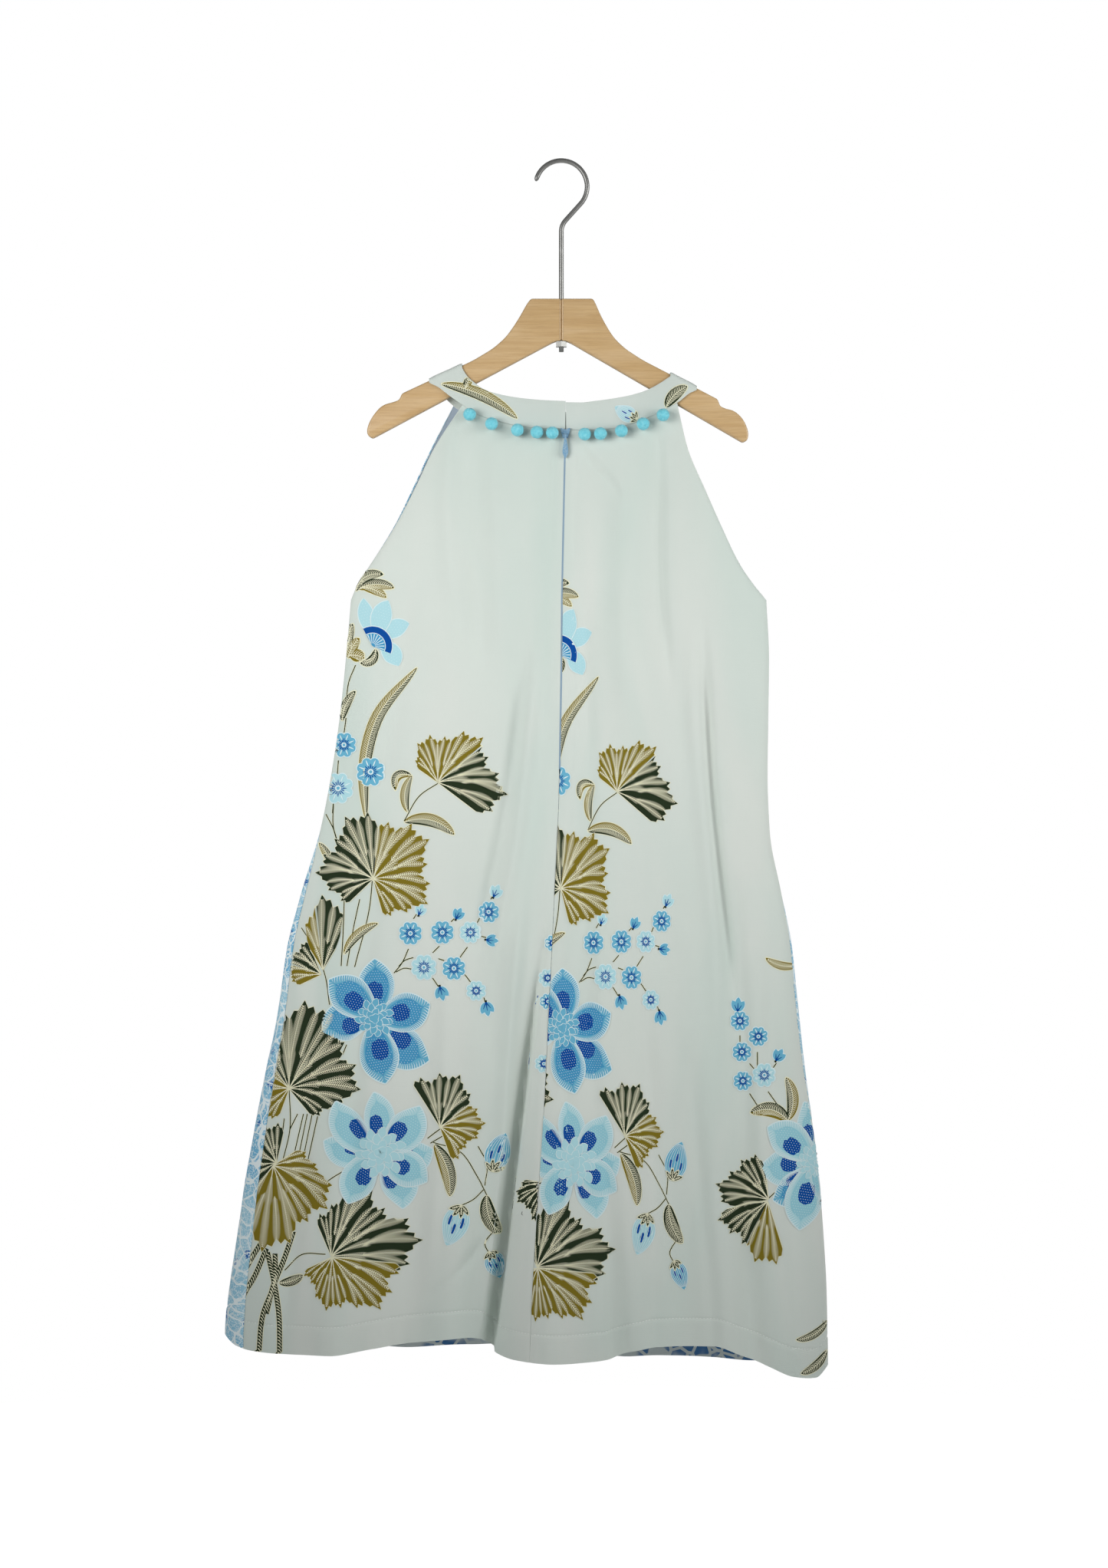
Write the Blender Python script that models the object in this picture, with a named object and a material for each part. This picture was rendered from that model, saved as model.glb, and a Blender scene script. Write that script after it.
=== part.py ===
"""A halter dress on a wooden hanger, seen from its back.

Metres, +Z up. The origin is the inside top of the hanger's hook, where a rail bears.
The back of the dress faces -Y, and +X is to the right when looking at the back.
Heights in the tables are "down": millimetres below the origin.
"""

import math
import random

import bmesh
import bpy
import numpy as np
from mathutils import Matrix, Vector

MM = 0.001

# Driving dimensions, in millimetres
CLOTH = 1.2
BAND_CLOTH = 1.8
SEAM = 0.3
UNDERARM_DOWN = 456.0
HEM_DOWN = 1240.0
ROUNDNESS = 2.5

ZIP_SLOT = 2.4
ZIP_END_DOWN = 632.0
SLOT_RUN_OUT = 25.0
ZIP_X = 4.2
TAPE_WIDTH = 20.0
TAPE_THICK = 0.8

POMPOM_RADIUS = 7.3
POMPOM_DROP = 5.2

WOOD_HALF_THICK = 6.0
WOOD_ROUND = 2.0
WIRE_RADIUS = 2.5
SHANK_HOLE_RADIUS = WIRE_RADIUS + SEAM
HOOK_RADIUS = 27.0
NUT_SEAT_DOWN = 186.1
NUT_HEIGHT = 5.5
SHANK_END_DOWN = 197.0

BODICE_ROWS = 6
SKIRT_ROWS = 12
BACK_COLUMNS = 26
FRONT_COLUMNS = 44

# The tube of the dress: its left and right edges, half its depth, how far the side seams
# have turned on to the back, and the centre back seam
BODY_COLUMNS = ("down", "left", "right", "depth", "left_turn", "right_turn", "centre_back")
BODY_ROWS = (
    (456, -219.4, 214.0, 20.0, 0.0, 0.0, 0.6),
    (518, -224.8, 216.8, 21.0, 0.0, 0.0, 0.2),
    (578, -231.2, 216.0, 22.5, 0.0, 0.0, -0.8),
    (638, -240.0, 215.2, 24.0, 0.0, 0.0, -1.8),
    (698, -252.0, 217.6, 27.0, 0.0, 0.0, -4.0),
    (758, -270.4, 228.8, 30.0, 4.5, 0.0, -7.0),
    (818, -285.6, 240.8, 34.0, 6.5, 2.0, -9.8),
    (878, -294.4, 247.2, 38.0, 8.0, 3.0, -12.8),
    (938, -306.4, 253.6, 41.0, 10.0, 2.0, -15.6),
    (998, -318.4, 261.6, 43.0, 12.5, 0.0, -19.0),
    (1058, -329.6, 268.8, 45.0, 15.5, 0.0, -23.0),
    (1118, -338.4, 273.6, 47.0, 17.5, 0.0, -27.0),
    (1178, -347.2, 276.8, 49.0, 20.0, 0.0, -30.5),
    (1218, -350.4, 277.6, 50.0, 21.0, 0.0, -32.0),
    (1270, -352.0, 278.0, 51.0, 22.0, 0.0, -33.0),
)

# The hem's height across the dress, on the back and on the front
HEM_COLUMNS = ("across", "back", "front")
HEM_ROWS = (
    (-352, 1219, 1219),
    (-337, 1230, 1230),
    (-320, 1234, 1233),
    (-290, 1236, 1237),
    (-240, 1236, 1239),
    (-194, 1229, 1240),
    (-153, 1223, 1240),
    (-102, 1219, 1240),
    (-84, 1221, 1240),
    (-70, 1234, 1240),
    (-47, 1240, 1241),
    (-2, 1243, 1244),
    (47, 1240, 1248),
    (72, 1232, 1250),
    (102, 1228, 1251),
    (158, 1228, 1252),
    (187, 1238, 1253),
    (216, 1250, 1254),
    (240, 1260, 1260),
    (264, 1263, 1263),
    (278, 1252, 1252),
)

# The armhole edges of the back and the front
ARMHOLE_COLUMNS = ("down", "back_left", "back_right", "front_left", "front_right")
ARMHOLE_ROWS = (
    (250, -101.5, 120.8, -112.0, 121.0),
    (298, -132.8, 132.0, -137.0, 132.0),
    (338, -152.0, 148.8, -155.5, 148.8),
    (378, -172.8, 166.4, -175.0, 166.4),
    (418, -198.4, 185.6, -199.5, 185.6),
    (438, -212.0, 199.2, -212.5, 199.2),
    (456, -219.4, 214.0, -219.4, 214.0),
)

# The folds: soft troughs, or ridges where the depth is less than nothing
FOLD_COLUMNS = ("side", "top_x", "top_down", "end_x", "end_down", "depth", "width")
FOLD_ROWS = (
    ("back", -26, 740, -80, 1231, 24, 25),
    ("back", 22, 780, 58, 1230, 9, 12),
    ("back", -4, 820, -12, 1240, -9, 34),
    ("back", 104, 700, 128, 1232, 12, 34),
    ("back", 144, 500, 200, 1240, 8, 16),
    ("back", -128, 800, -158, 1226, 7, 26),
    ("back", -215, 880, -238, 1236, -6, 26),
    ("back", 228, 900, 246, 1262, -6, 20),
    ("front", -118, 740, -160, 1240, 17, 30),
    ("front", 38, 760, 62, 1250, 19, 26),
    ("front", 150, 700, 196, 1253, 12, 26),
    ("front", -40, 860, -52, 1240, -6, 30),
)

# The neckband, from its left shoulder to its right: its neck edge, its lower edge, and how
# far it lies from the dress's middle plane
BAND_COLUMNS = ("top_x", "top_down", "low_x", "low_down", "out")
BACK_BAND_LEFT = (
    (-98.5, 222.5, -127.5, 235.0, 7.8),
    (-90.4, 230.0, -116.5, 243.6, 8.0),
    (-82.0, 236.0, -103.2, 252.8, 8.2),
    (-73.6, 239.6, -88.8, 262.6, 8.5),
    (-57.6, 243.6, -63.2, 271.0, 9.0),
    (-36.8, 246.8, -43.2, 275.4, 9.4),
    (-17.6, 248.4, -18.0, 277.8, 9.8),
    (3.2, 249.4, 3.0, 278.4, 10.0),
)
BACK_BAND_RIGHT = (
    (5.2, 251.0, 5.4, 278.8, 10.0),
    (20.0, 250.8, 22.0, 279.4, 9.9),
    (35.2, 249.2, 48.0, 278.4, 9.5),
    (66.4, 244.4, 72.0, 273.2, 9.0),
    (88.0, 238.2, 102.0, 261.0, 8.5),
    (102.0, 231.0, 121.5, 250.4, 8.2),
    (109.5, 226.0, 133.5, 241.0, 7.8),
)
FRONT_BAND = (
    (-98.0, 223.5, -129.0, 236.5, 7.8),
    (-88.0, 232.5, -113.0, 252.2, 8.2),
    (-73.0, 243.0, -90.0, 267.0, 8.6),
    (-50.0, 252.0, -58.0, 279.5, 9.2),
    (-25.0, 257.0, -28.0, 286.0, 9.8),
    (4.0, 258.6, 4.0, 288.0, 10.2),
    (33.0, 257.0, 36.0, 286.0, 9.8),
    (60.0, 252.0, 67.0, 279.5, 9.2),
    (86.0, 243.0, 100.0, 266.0, 8.6),
    (102.0, 232.0, 121.5, 251.6, 8.2),
    (109.5, 226.5, 133.5, 241.5, 7.8),
)
# Where the neck edge and the lower edge cross the top of each arm
BAND_CREST_LEFT = (-103.4, -137.6)
BAND_CREST_RIGHT = (113.6, 141.0)

POMPOMS_BACK = (-95.2, -72.4, -45.6, -25.4, -9.4, 24.2, 40.6, 62.4, 85.0, 105.6)
POMPOMS_FRONT = (-99.0, -77.0, -54.0, -32.0, -9.0, 17.0, 40.0, 62.0, 85.0, 107.0)

# The hanger's outline: along the top from the middle to each end, with its notch, and back
# under the arm to the nut's seat
ARM_LEFT = (
    (0.0, 142.0),
    (-31.5, 142.0),
    (-36.0, 147.5),
    (-41.6, 158.0),
    (-49.0, 170.0),
    (-58.0, 182.5),
    (-71.2, 194.0),
    (-92.0, 206.5),
    (-130.0, 224.0),
    (-166.0, 240.8),
    (-169.0, 247.5),
    (-175.0, 249.8),
    (-187.2, 253.0),
    (-197.6, 265.5),
    (-202.6, 277.0),
    (-202.0, 284.0),
    (-196.8, 287.6),
    (-6.5, NUT_SEAT_DOWN),
)
ARM_RIGHT = (
    (6.5, NUT_SEAT_DOWN),
    (189.0, 291.8),
    (194.2, 289.0),
    (195.4, 281.0),
    (190.0, 267.5),
    (180.4, 258.5),
    (171.0, 256.6),
    (165.6, 254.0),
    (163.0, 246.8),
    (115.0, 221.6),
    (84.8, 206.0),
    (66.4, 194.0),
    (54.5, 182.5),
    (46.8, 170.0),
    (40.4, 158.0),
    (36.0, 147.5),
    (33.0, 142.0),
)

# The zip's slider and pull
SLIDER_TOP_DOWN = 277.6
SLIDER_LENGTH = 10.5
SLIDER_TOP_WIDTH = 9.6
SLIDER_END_WIDTH = 5.4
SLIDER_THICK = 1.6
PIN_DOWN = 285.6
PIN_RADIUS = 0.7
PULL_EYE_RADIUS = 1.8
PULL_EYE_WIDTH = 2.4
CHEEK_WIDTH = 1.0
PULL_LENGTH = 24.0
PULL_WIDTH = 5.2
PULL_NECK_WIDTH = 2.2
PULL_THICK = 1.5


# Reading the tables

def smooth(keys, values, at):
    """Reads a column between its rows, along a curve with no kink and no overshoot."""
    keys = np.asarray(keys, float)
    values = np.asarray(values, float)
    at = min(max(at, keys[0]), keys[-1])
    step = np.diff(keys)
    slope = np.diff(values) / step
    tangent = np.zeros(len(keys))
    tangent[0] = slope[0]
    tangent[-1] = slope[-1]
    for i in range(1, len(keys) - 1):
        if slope[i - 1] * slope[i] > 0:
            tangent[i] = 2 * slope[i - 1] * slope[i] / (slope[i - 1] + slope[i])
    i = min(max(int(np.searchsorted(keys, at)) - 1, 0), len(step) - 1)
    u = (at - keys[i]) / step[i]
    ends = (1 + 2 * u) * (1 - u) ** 2 * values[i] + u * u * (3 - 2 * u) * values[i + 1]
    pull = u * (1 - u) ** 2 * tangent[i] - u * u * (1 - u) * tangent[i + 1]
    return float(ends + pull * step[i])


def column(columns, rows, name):
    """One named column of a table."""
    place = columns.index(name)
    return [row[place] for row in rows]


def read(columns, rows, name, at):
    """A table's named column, read at a value of its first column."""
    return smooth(column(columns, rows, columns[0]), column(columns, rows, name), at)


def body(name, down):
    return read(BODY_COLUMNS, BODY_ROWS, name, down)


def ease(u):
    """A soft step from 0 to 1."""
    u = min(max(u, 0.0), 1.0)
    return u * u * (3 - 2 * u)


def blend(a, b, u):
    return a + (b - a) * u


# The tube of the dress

def fold_shift(side, x, down):
    """How far the folds move the cloth in towards the hollow."""
    shift = 0.0
    for row in FOLD_ROWS:
        fold = dict(zip(FOLD_COLUMNS, row))
        if fold["side"] != side or down <= fold["top_down"]:
            continue
        along = (down - fold["top_down"]) / (fold["end_down"] - fold["top_down"])
        middle = blend(fold["top_x"], fold["end_x"], along)
        shift += fold["depth"] * ease(along) * math.exp(-((x - middle) / fold["width"]) ** 2)
    return shift


def ring(turn, down):
    """A point of the tube: turn runs from the right edge (0) over the back to the left
    edge (2), and on over the front to the right edge again (4)."""
    turn = turn % 4
    on_back = turn < 2
    across = 1 - turn if on_back else turn - 3
    left = body("left", down)
    right = body("right", down)
    share = math.sin(math.pi / 2 * across)
    x = (left + right) / 2 + (right - left) / 2 * share
    depth = body("depth", down) * (1 - abs(share) ** ROUNDNESS) ** (1 / ROUNDNESS)
    side = "back" if on_back else "front"
    depth -= fold_shift(side, x, down) * (1 - share ** 8)
    return Vector((x, -depth if on_back else depth, -down))


def turn_at(x, down):
    """The turn at which the back of the tube has this x."""
    left = body("left", down)
    right = body("right", down)
    share = (x - (left + right) / 2) / ((right - left) / 2)
    return 1 - math.asin(min(max(share, -1.0), 1.0)) * 2 / math.pi


def right_seam(down):
    return turn_at(body("right", down) - body("right_turn", down), down)


def centre_back(down):
    return turn_at(body("centre_back", down), down)


def left_seam(down):
    return turn_at(body("left", down) + body("left_turn", down), down)


def right_seam_again(down):
    return right_seam(down) + 4


def skirt_point(panel, across, fall):
    """A point below the underarm: across runs from seam to seam, fall from 0 to 1."""
    level = blend(UNDERARM_DOWN, HEM_DOWN, fall)
    turn = blend(panel["from_seam"](level), panel["to_seam"](level), across)
    foot = ring(turn, HEM_DOWN)
    on_front = ease((foot.y / body("depth", HEM_DOWN) + 0.6) / 1.2)
    hem_back = read(HEM_COLUMNS, HEM_ROWS, "back", foot.x)
    hem_front = read(HEM_COLUMNS, HEM_ROWS, "front", foot.x)
    hem = blend(hem_back, hem_front, on_front)
    return ring(turn, blend(UNDERARM_DOWN, hem, fall))


# The neckband's edges, which the panels hang from

def band_low_edge(rows, x, side):
    """The band's lower edge at an x: a point on the middle of the band's wall."""
    keys = column(BAND_COLUMNS, rows, "low_x")
    down = smooth(keys, column(BAND_COLUMNS, rows, "low_down"), x)
    out = smooth(keys, column(BAND_COLUMNS, rows, "out"), x)
    return Vector((x, -out if side == "back" else out, -down))


def panel_top(panel, share):
    """A point of the panel's top edge, just under the band, on the cloth's outer face."""
    x = blend(panel["top_from"], panel["top_to"], share)
    point = band_low_edge(panel["band"], x, panel["side"])
    point.z -= SEAM
    point.y += CLOTH / 2 * (-1 if panel["side"] == "back" else 1)
    return point


def armhole_point(panel, name, fall):
    """A point of an armhole's edge, from the band (0) to the side seam (1)."""
    corner = panel_top(panel, 0 if name.endswith("right") == (panel["side"] == "back") else 1)
    down = blend(-corner.z, UNDERARM_DOWN, fall)
    x = read(ARMHOLE_COLUMNS, ARMHOLE_ROWS, name, down)
    start = read(ARMHOLE_COLUMNS, ARMHOLE_ROWS, name, -corner.z)
    x += (corner.x - start) * (1 - fall)
    return Vector((x, corner.y * (1 - fall ** 4), -down))


def centre_point(panel, fall):
    """A point of the centre back line, from the band to the underarm's height."""
    top = panel_top(panel, panel["centre_share"])
    foot = skirt_point(panel, panel["centre_share"], 0)
    return top.lerp(foot, fall)


def bodice_point(panel, across, fall):
    """A point above the underarm, spanned between the panel's four edges."""
    foot = skirt_point(panel, across, 0)
    foot_from = skirt_point(panel, 0, 0)
    foot_to = skirt_point(panel, 1, 0)
    share = 0.65 * (foot.x - foot_from.x) / (foot_to.x - foot_from.x) + 0.35 * across
    up = 1 - fall
    point = panel_top(panel, share) * up + foot * fall
    from_gap = panel["from_edge"](panel, fall) - (panel_top(panel, 0) * up + foot_from * fall)
    to_gap = panel["to_edge"](panel, fall) - (panel_top(panel, 1) * up + foot_to * fall)
    return point + from_gap * (1 - across) + to_gap * across


def edge_of(name):
    """The armhole edge with this name, as a function of the panel and the fall."""
    return lambda panel, fall: armhole_point(panel, name, fall)


BACK_RIGHT = {
    "side": "back", "band": BACK_BAND_RIGHT, "top_from": 120.8, "top_to": 4.2,
    "from_seam": right_seam, "to_seam": centre_back, "centre_share": 1,
    "from_edge": edge_of("back_right"), "to_edge": centre_point,
}
BACK_LEFT = {
    "side": "back", "band": BACK_BAND_LEFT, "top_from": 4.2, "top_to": -103.2,
    "from_seam": centre_back, "to_seam": left_seam, "centre_share": 0,
    "from_edge": centre_point, "to_edge": edge_of("back_left"),
}
FRONT = {
    "side": "front", "band": FRONT_BAND, "top_from": -113.0, "top_to": 121.2,
    "from_seam": left_seam, "to_seam": right_seam_again, "centre_share": 0.5,
    "from_edge": edge_of("front_left"), "to_edge": edge_of("front_right"),
}


def panel_point(panel, across, row):
    """A point of a panel's outer face. Rows count from the band down."""
    if row < BODICE_ROWS:
        return bodice_point(panel, across, row / BODICE_ROWS)
    return skirt_point(panel, across, (row - BODICE_ROWS) / SKIRT_ROWS)


def panel_frame(panel, across, row):
    """The outer point, its outward normal and its direction across the panel."""
    point = panel_point(panel, across, row)
    near = 0.002
    upper = max(row - near, 0)
    if row == BODICE_ROWS:
        upper = row
    sideways = panel_point(panel, across + near, row) - panel_point(panel, across - near, row)
    downward = panel_point(panel, across, row + near) - panel_point(panel, across, upper)
    sideways.normalize()
    return point, sideways.cross(downward).normalized(), sideways


def half_gap(seam, row_down):
    """Half the gap at a panel's edge: the zip's slot at the centre back, or a plain seam."""
    if seam != "zip":
        return SEAM / 2
    slot = 1 - ease((row_down - ZIP_END_DOWN - SLOT_RUN_OUT) / SLOT_RUN_OUT)
    return blend(SEAM, ZIP_SLOT, slot) / 2


# Making meshes

def material(name, colour, roughness, metallic=0.0):
    made = bpy.data.materials.new(name)
    made.use_nodes = True
    shader = made.node_tree.nodes["Principled BSDF"]
    shader.inputs["Base Color"].default_value = (*colour, 1)
    shader.inputs["Roughness"].default_value = roughness
    shader.inputs["Metallic"].default_value = metallic
    made.diffuse_color = (*colour, 1)
    return made


def link(name, mesh, surface):
    """Puts a mesh in the scene as one named sub-part."""
    part = bpy.data.objects.new(name, mesh)
    bpy.context.scene.collection.objects.link(part)
    mesh.materials.append(surface)
    return part


def mesh_of(name, points, faces):
    """A mesh from points in millimetres."""
    mesh = bpy.data.meshes.new(name)
    mesh.from_pydata([tuple(Vector(p) * MM) for p in points], [], faces)
    mesh.update()
    return mesh


def wall(name, outer, inner, surface):
    """A wall between two grids of points of the same size, closed along its four edges."""
    rows = len(outer)
    columns = len(outer[0])
    points = [p for grid in (outer, inner) for row in grid for p in row]

    def at(layer, row, place):
        return layer * rows * columns + row * columns + place

    faces = []
    for row in range(rows - 1):
        for place in range(columns - 1):
            corners = ((row, place), (row + 1, place), (row + 1, place + 1), (row, place + 1))
            faces.append([at(0, *corner) for corner in corners])
            faces.append([at(1, *corner) for corner in reversed(corners)])
    rim = [(0, place) for place in range(columns - 1)]
    rim += [(row, columns - 1) for row in range(rows - 1)]
    rim += [(rows - 1, place) for place in range(columns - 1, 0, -1)]
    rim += [(row, 0) for row in range(rows - 1, 0, -1)]
    for here, there in zip(rim, rim[1:] + rim[:1]):
        faces.append([at(0, *here), at(0, *there), at(1, *there), at(1, *here)])
    mesh = mesh_of(name, points, faces)
    fix = bmesh.new()
    fix.from_mesh(mesh)
    bmesh.ops.recalc_face_normals(fix, faces=fix.faces)
    fix.to_mesh(mesh)
    fix.free()
    mesh.shade_smooth()
    mesh.set_sharp_from_angle(angle=math.radians(50))
    return link(name, mesh, surface)


def cloth_panel(name, panel, columns, from_gap, to_gap, surface):
    """One panel of the dress, parted from its neighbours by the seams' gaps."""
    outer = []
    inner = []
    for row in range(BODICE_ROWS + SKIRT_ROWS + 1):
        outer_row = []
        inner_row = []
        for place in range(columns + 1):
            point, normal, sideways = panel_frame(panel, place / columns, row)
            if place == 0:
                point += sideways * half_gap(from_gap, -point.z)
            if place == columns:
                point -= sideways * half_gap(to_gap, -point.z)
            outer_row.append(point)
            inner_row.append(point - normal * CLOTH)
        outer.append(outer_row)
        inner.append(inner_row)
    return wall(name, outer, inner, surface)


# The neckband

def wood_top(x):
    """How far down the top of the hanger's arm is."""
    outline = ARM_LEFT if x < 0 else ARM_RIGHT
    run = [(px, down) for px, down in outline if 30 < abs(px) < 170 and down < 250]
    run.sort()
    return float(np.interp(x, [p[0] for p in run], [p[1] for p in run]))


def crest(places, order):
    """The band's stations over the top of an arm, from the front to the back or the
    other way. Each station is the neck edge and the lower edge, on the wall's middle."""
    reach = WOOD_ROUND + SEAM + BAND_CLOTH / 2 + 0.3
    corner = WOOD_HALF_THICK - WOOD_ROUND
    bends = [(corner + reach * math.cos(a), WOOD_ROUND - reach * math.sin(a) * 1.08)
             for a in map(math.radians, (0, 30, 60, 90))]
    half = bends + [(0.0, WOOD_ROUND - reach * 1.08)]
    profile = half + [(-y, drop) for y, drop in reversed(half[:-1])]
    stations = []
    for y, drop in profile:
        edges = [Vector((x, y, -(wood_top(x) + drop))) for x in places]
        stations.append(edges)
    return stations if order == "front first" else stations[::-1]


def band_stations():
    """The band's whole course, from the centre back over the right shoulder, the front and
    the left shoulder to the centre back again."""

    def edges(row, sign):
        named = dict(zip(BAND_COLUMNS, row))
        y = named["out"] * sign
        top = Vector((named["top_x"], y, -named["top_down"]))
        low = Vector((named["low_x"], y, -named["low_down"]))
        return [top, low]

    course = [edges(row, -1) for row in BACK_BAND_RIGHT]
    course += crest(BAND_CREST_RIGHT, "back first")
    course += [edges(row, 1) for row in reversed(FRONT_BAND)]
    course += crest(BAND_CREST_LEFT, "front first")
    course += [edges(row, -1) for row in BACK_BAND_LEFT]
    return course


def band_course(station):
    """Both edges of the band at a place between two stations."""
    course = band_stations()
    counts = list(range(len(course)))
    made = []
    for edge in range(2):
        point = [smooth(counts, [stop[edge][axis] for stop in course], station) for axis in range(3)]
        made.append(Vector(point))
    return made


def neckband(surface):
    """One band, open at the centre back, that folds over both arms of the hanger."""
    last = len(band_stations()) - 1
    steps = last * 2
    outer = []
    inner = []
    for row in range(4):
        drop = row / 3
        outer.append([])
        inner.append([])
        for place in range(steps + 1):
            station = place / 2
            before = band_course(max(station - 0.05, 0))
            after = band_course(min(station + 0.05, last))
            top, low = band_course(station)
            along = after[0].lerp(after[1], drop) - before[0].lerp(before[1], drop)
            normal = (low - top).cross(along).normalized()
            middle = top.lerp(low, drop)
            outer[row].append(middle + normal * BAND_CLOTH / 2)
            inner[row].append(middle - normal * BAND_CLOTH / 2)
    return wall("neckband", outer, inner, surface)


# The zip

def zip_chain(surface):
    """The zip's coil in the slot between the back panels, with its tape behind them."""
    ridge = ZIP_SLOT / 2 - SEAM
    tape = CLOTH + SEAM + 0.2
    profile = [
        (-ridge, 0.25), (ridge, 0.25), (ridge, tape), (TAPE_WIDTH / 2, tape),
        (TAPE_WIDTH / 2, tape + TAPE_THICK), (-TAPE_WIDTH / 2, tape + TAPE_THICK),
        (-TAPE_WIDTH / 2, tape), (-ridge, tape),
    ]
    end_row = BODICE_ROWS + (ZIP_END_DOWN - UNDERARM_DOWN) / (HEM_DOWN - UNDERARM_DOWN) * SKIRT_ROWS
    rows = [0.05] + list(range(1, BODICE_ROWS + 3)) + [end_row]
    points = []
    for row in rows:
        middle, normal, sideways = panel_frame(BACK_LEFT, 0, row)
        for width, depth in profile:
            points.append(middle + sideways * width - normal * depth)
    size = len(profile)
    faces = [list(range(size)), list(range(len(points) - size, len(points)))[::-1]]
    for row in range(len(rows) - 1):
        for corner in range(size):
            here = row * size + corner
            there = row * size + (corner + 1) % size
            faces.append([here, here + size, there + size, there])
    mesh = mesh_of("zip_chain", points, faces)
    fix = bmesh.new()
    fix.from_mesh(mesh)
    bmesh.ops.recalc_face_normals(fix, faces=fix.faces)
    fix.to_mesh(mesh)
    fix.free()
    return link("zip_chain", mesh, surface)


def plate(outline, low, high, axis="Y"):
    """A flat piece: an outline in x and z, extruded in y, or in y and z, extruded in x."""
    form = bmesh.new()
    if axis == "Y":
        corners = [form.verts.new((x, low, z)) for x, z in outline]
        push = Vector((0, high - low, 0))
    else:
        corners = [form.verts.new((low, y, z)) for y, z in outline]
        push = Vector((high - low, 0, 0))
    face = form.faces.new(corners)
    grown = bmesh.ops.extrude_face_region(form, geom=[face])
    moved = [v for v in grown["geom"] if isinstance(v, bmesh.types.BMVert)]
    bmesh.ops.translate(form, verts=moved, vec=push)
    bmesh.ops.recalc_face_normals(form, faces=form.faces)
    bmesh.ops.scale(form, vec=(MM, MM, MM), verts=form.verts)
    mesh = bpy.data.meshes.new("plate")
    form.to_mesh(mesh)
    form.free()
    return mesh


def rod(radius, length, centre, axis="X", sides=12):
    """A round rod along an axis, in millimetres."""
    form = bmesh.new()
    turn = {"X": Matrix.Rotation(math.pi / 2, 4, "Y"), "Z": Matrix.Identity(4)}[axis]
    place = Matrix.Scale(MM, 4) @ Matrix.Translation(centre) @ turn
    bmesh.ops.create_cone(form, cap_ends=True, segments=sides, radius1=radius,
                          radius2=radius, depth=length, matrix=place)
    mesh = bpy.data.meshes.new("rod")
    form.to_mesh(mesh)
    form.free()
    return mesh


def cutter(mesh):
    """An object that shapes others and is no sub-part itself."""
    made = bpy.data.objects.new("guide", mesh)
    bpy.context.scene.collection.objects.link(made)
    made.hide_render = True
    made.display_type = "WIRE"
    return made


def shape(part, operation, mesh):
    """Unites a part with a form, cuts the form out, or keeps what both share."""
    step = part.modifiers.new(operation.lower(), "BOOLEAN")
    step.operation = operation
    step.object = cutter(mesh)


def pin_place():
    """Where the pull's pin crosses the zip's line."""
    surface = panel_frame(BACK_LEFT, 0, 0.3)[0].y
    plate_front = surface - SEAM - SLIDER_THICK
    return Vector((ZIP_X, plate_front - SEAM - PULL_EYE_RADIUS, -PIN_DOWN))


def zip_slider(surface):
    """The slider: a plate over the zip with two cheeks that hold the pull's pin."""
    pin = pin_place()
    back = pin.y + PULL_EYE_RADIUS + SEAM + SLIDER_THICK
    front = back - SLIDER_THICK
    half_top = SLIDER_TOP_WIDTH / 2
    half_end = SLIDER_END_WIDTH / 2
    end = -SLIDER_TOP_DOWN - SLIDER_LENGTH
    outline = [
        (ZIP_X - half_top, -SLIDER_TOP_DOWN), (ZIP_X - half_top, -SLIDER_TOP_DOWN - 3.2),
        (ZIP_X - half_end, end), (ZIP_X + half_end, end),
        (ZIP_X + half_top, -SLIDER_TOP_DOWN - 3.2), (ZIP_X + half_top, -SLIDER_TOP_DOWN),
        (ZIP_X, -SLIDER_TOP_DOWN - 1.6),
    ]
    slider = link("zip_slider", plate(outline, front, back), surface)
    reach = PIN_RADIUS + 0.5
    for side in (-1, 1):
        inner = ZIP_X + side * (PULL_EYE_WIDTH / 2 + SEAM)
        outer = inner + side * CHEEK_WIDTH
        cheek = [(front + 0.4, pin.z - 2.2), (front + 0.4, pin.z + 2.2),
                 (pin.y - reach, pin.z + reach), (pin.y - reach, pin.z - reach)]
        shape(slider, "UNION", plate(cheek, min(inner, outer), max(inner, outer), "X"))
    width = PULL_EYE_WIDTH + 2 * SEAM + 2 * CHEEK_WIDTH
    shape(slider, "UNION", rod(PIN_RADIUS, width - 0.4, pin))
    return slider


def zip_pull(surface):
    """The pull: an eye on the slider's pin and a drop-shaped tongue that hangs from it."""
    pin = pin_place()
    pull = link("zip_pull", rod(PULL_EYE_RADIUS, PULL_EYE_WIDTH, Vector((0, 0, 0)), sides=16), surface)
    pull.location = pin * MM
    drop = []
    for step in range(13):
        along = step / 12
        swell = math.sin(math.pi * along ** 2.2) ** 0.8 if step < 12 else 0.0
        half = PULL_NECK_WIDTH / 2 * (1 - along ** 3) + (PULL_WIDTH - 0.6) / 2 * swell
        drop.append((max(half, 0.5), -PULL_EYE_RADIUS + 0.6 - along * (PULL_LENGTH - PULL_EYE_RADIUS)))
    outline = [(-x, z) for x, z in drop] + [(x, z) for x, z in reversed(drop)]
    tongue = plate(outline, -PULL_THICK / 2, PULL_THICK / 2)
    shape(pull, "UNION", tongue)
    pull.modifiers[-1].object.location = pull.location
    shape(pull, "DIFFERENCE", rod(PIN_RADIUS + SEAM, PULL_EYE_WIDTH * 2, Vector((0, 0, 0))))
    pull.modifiers[-1].object.location = pull.location
    return pull


# The pompoms

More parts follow.
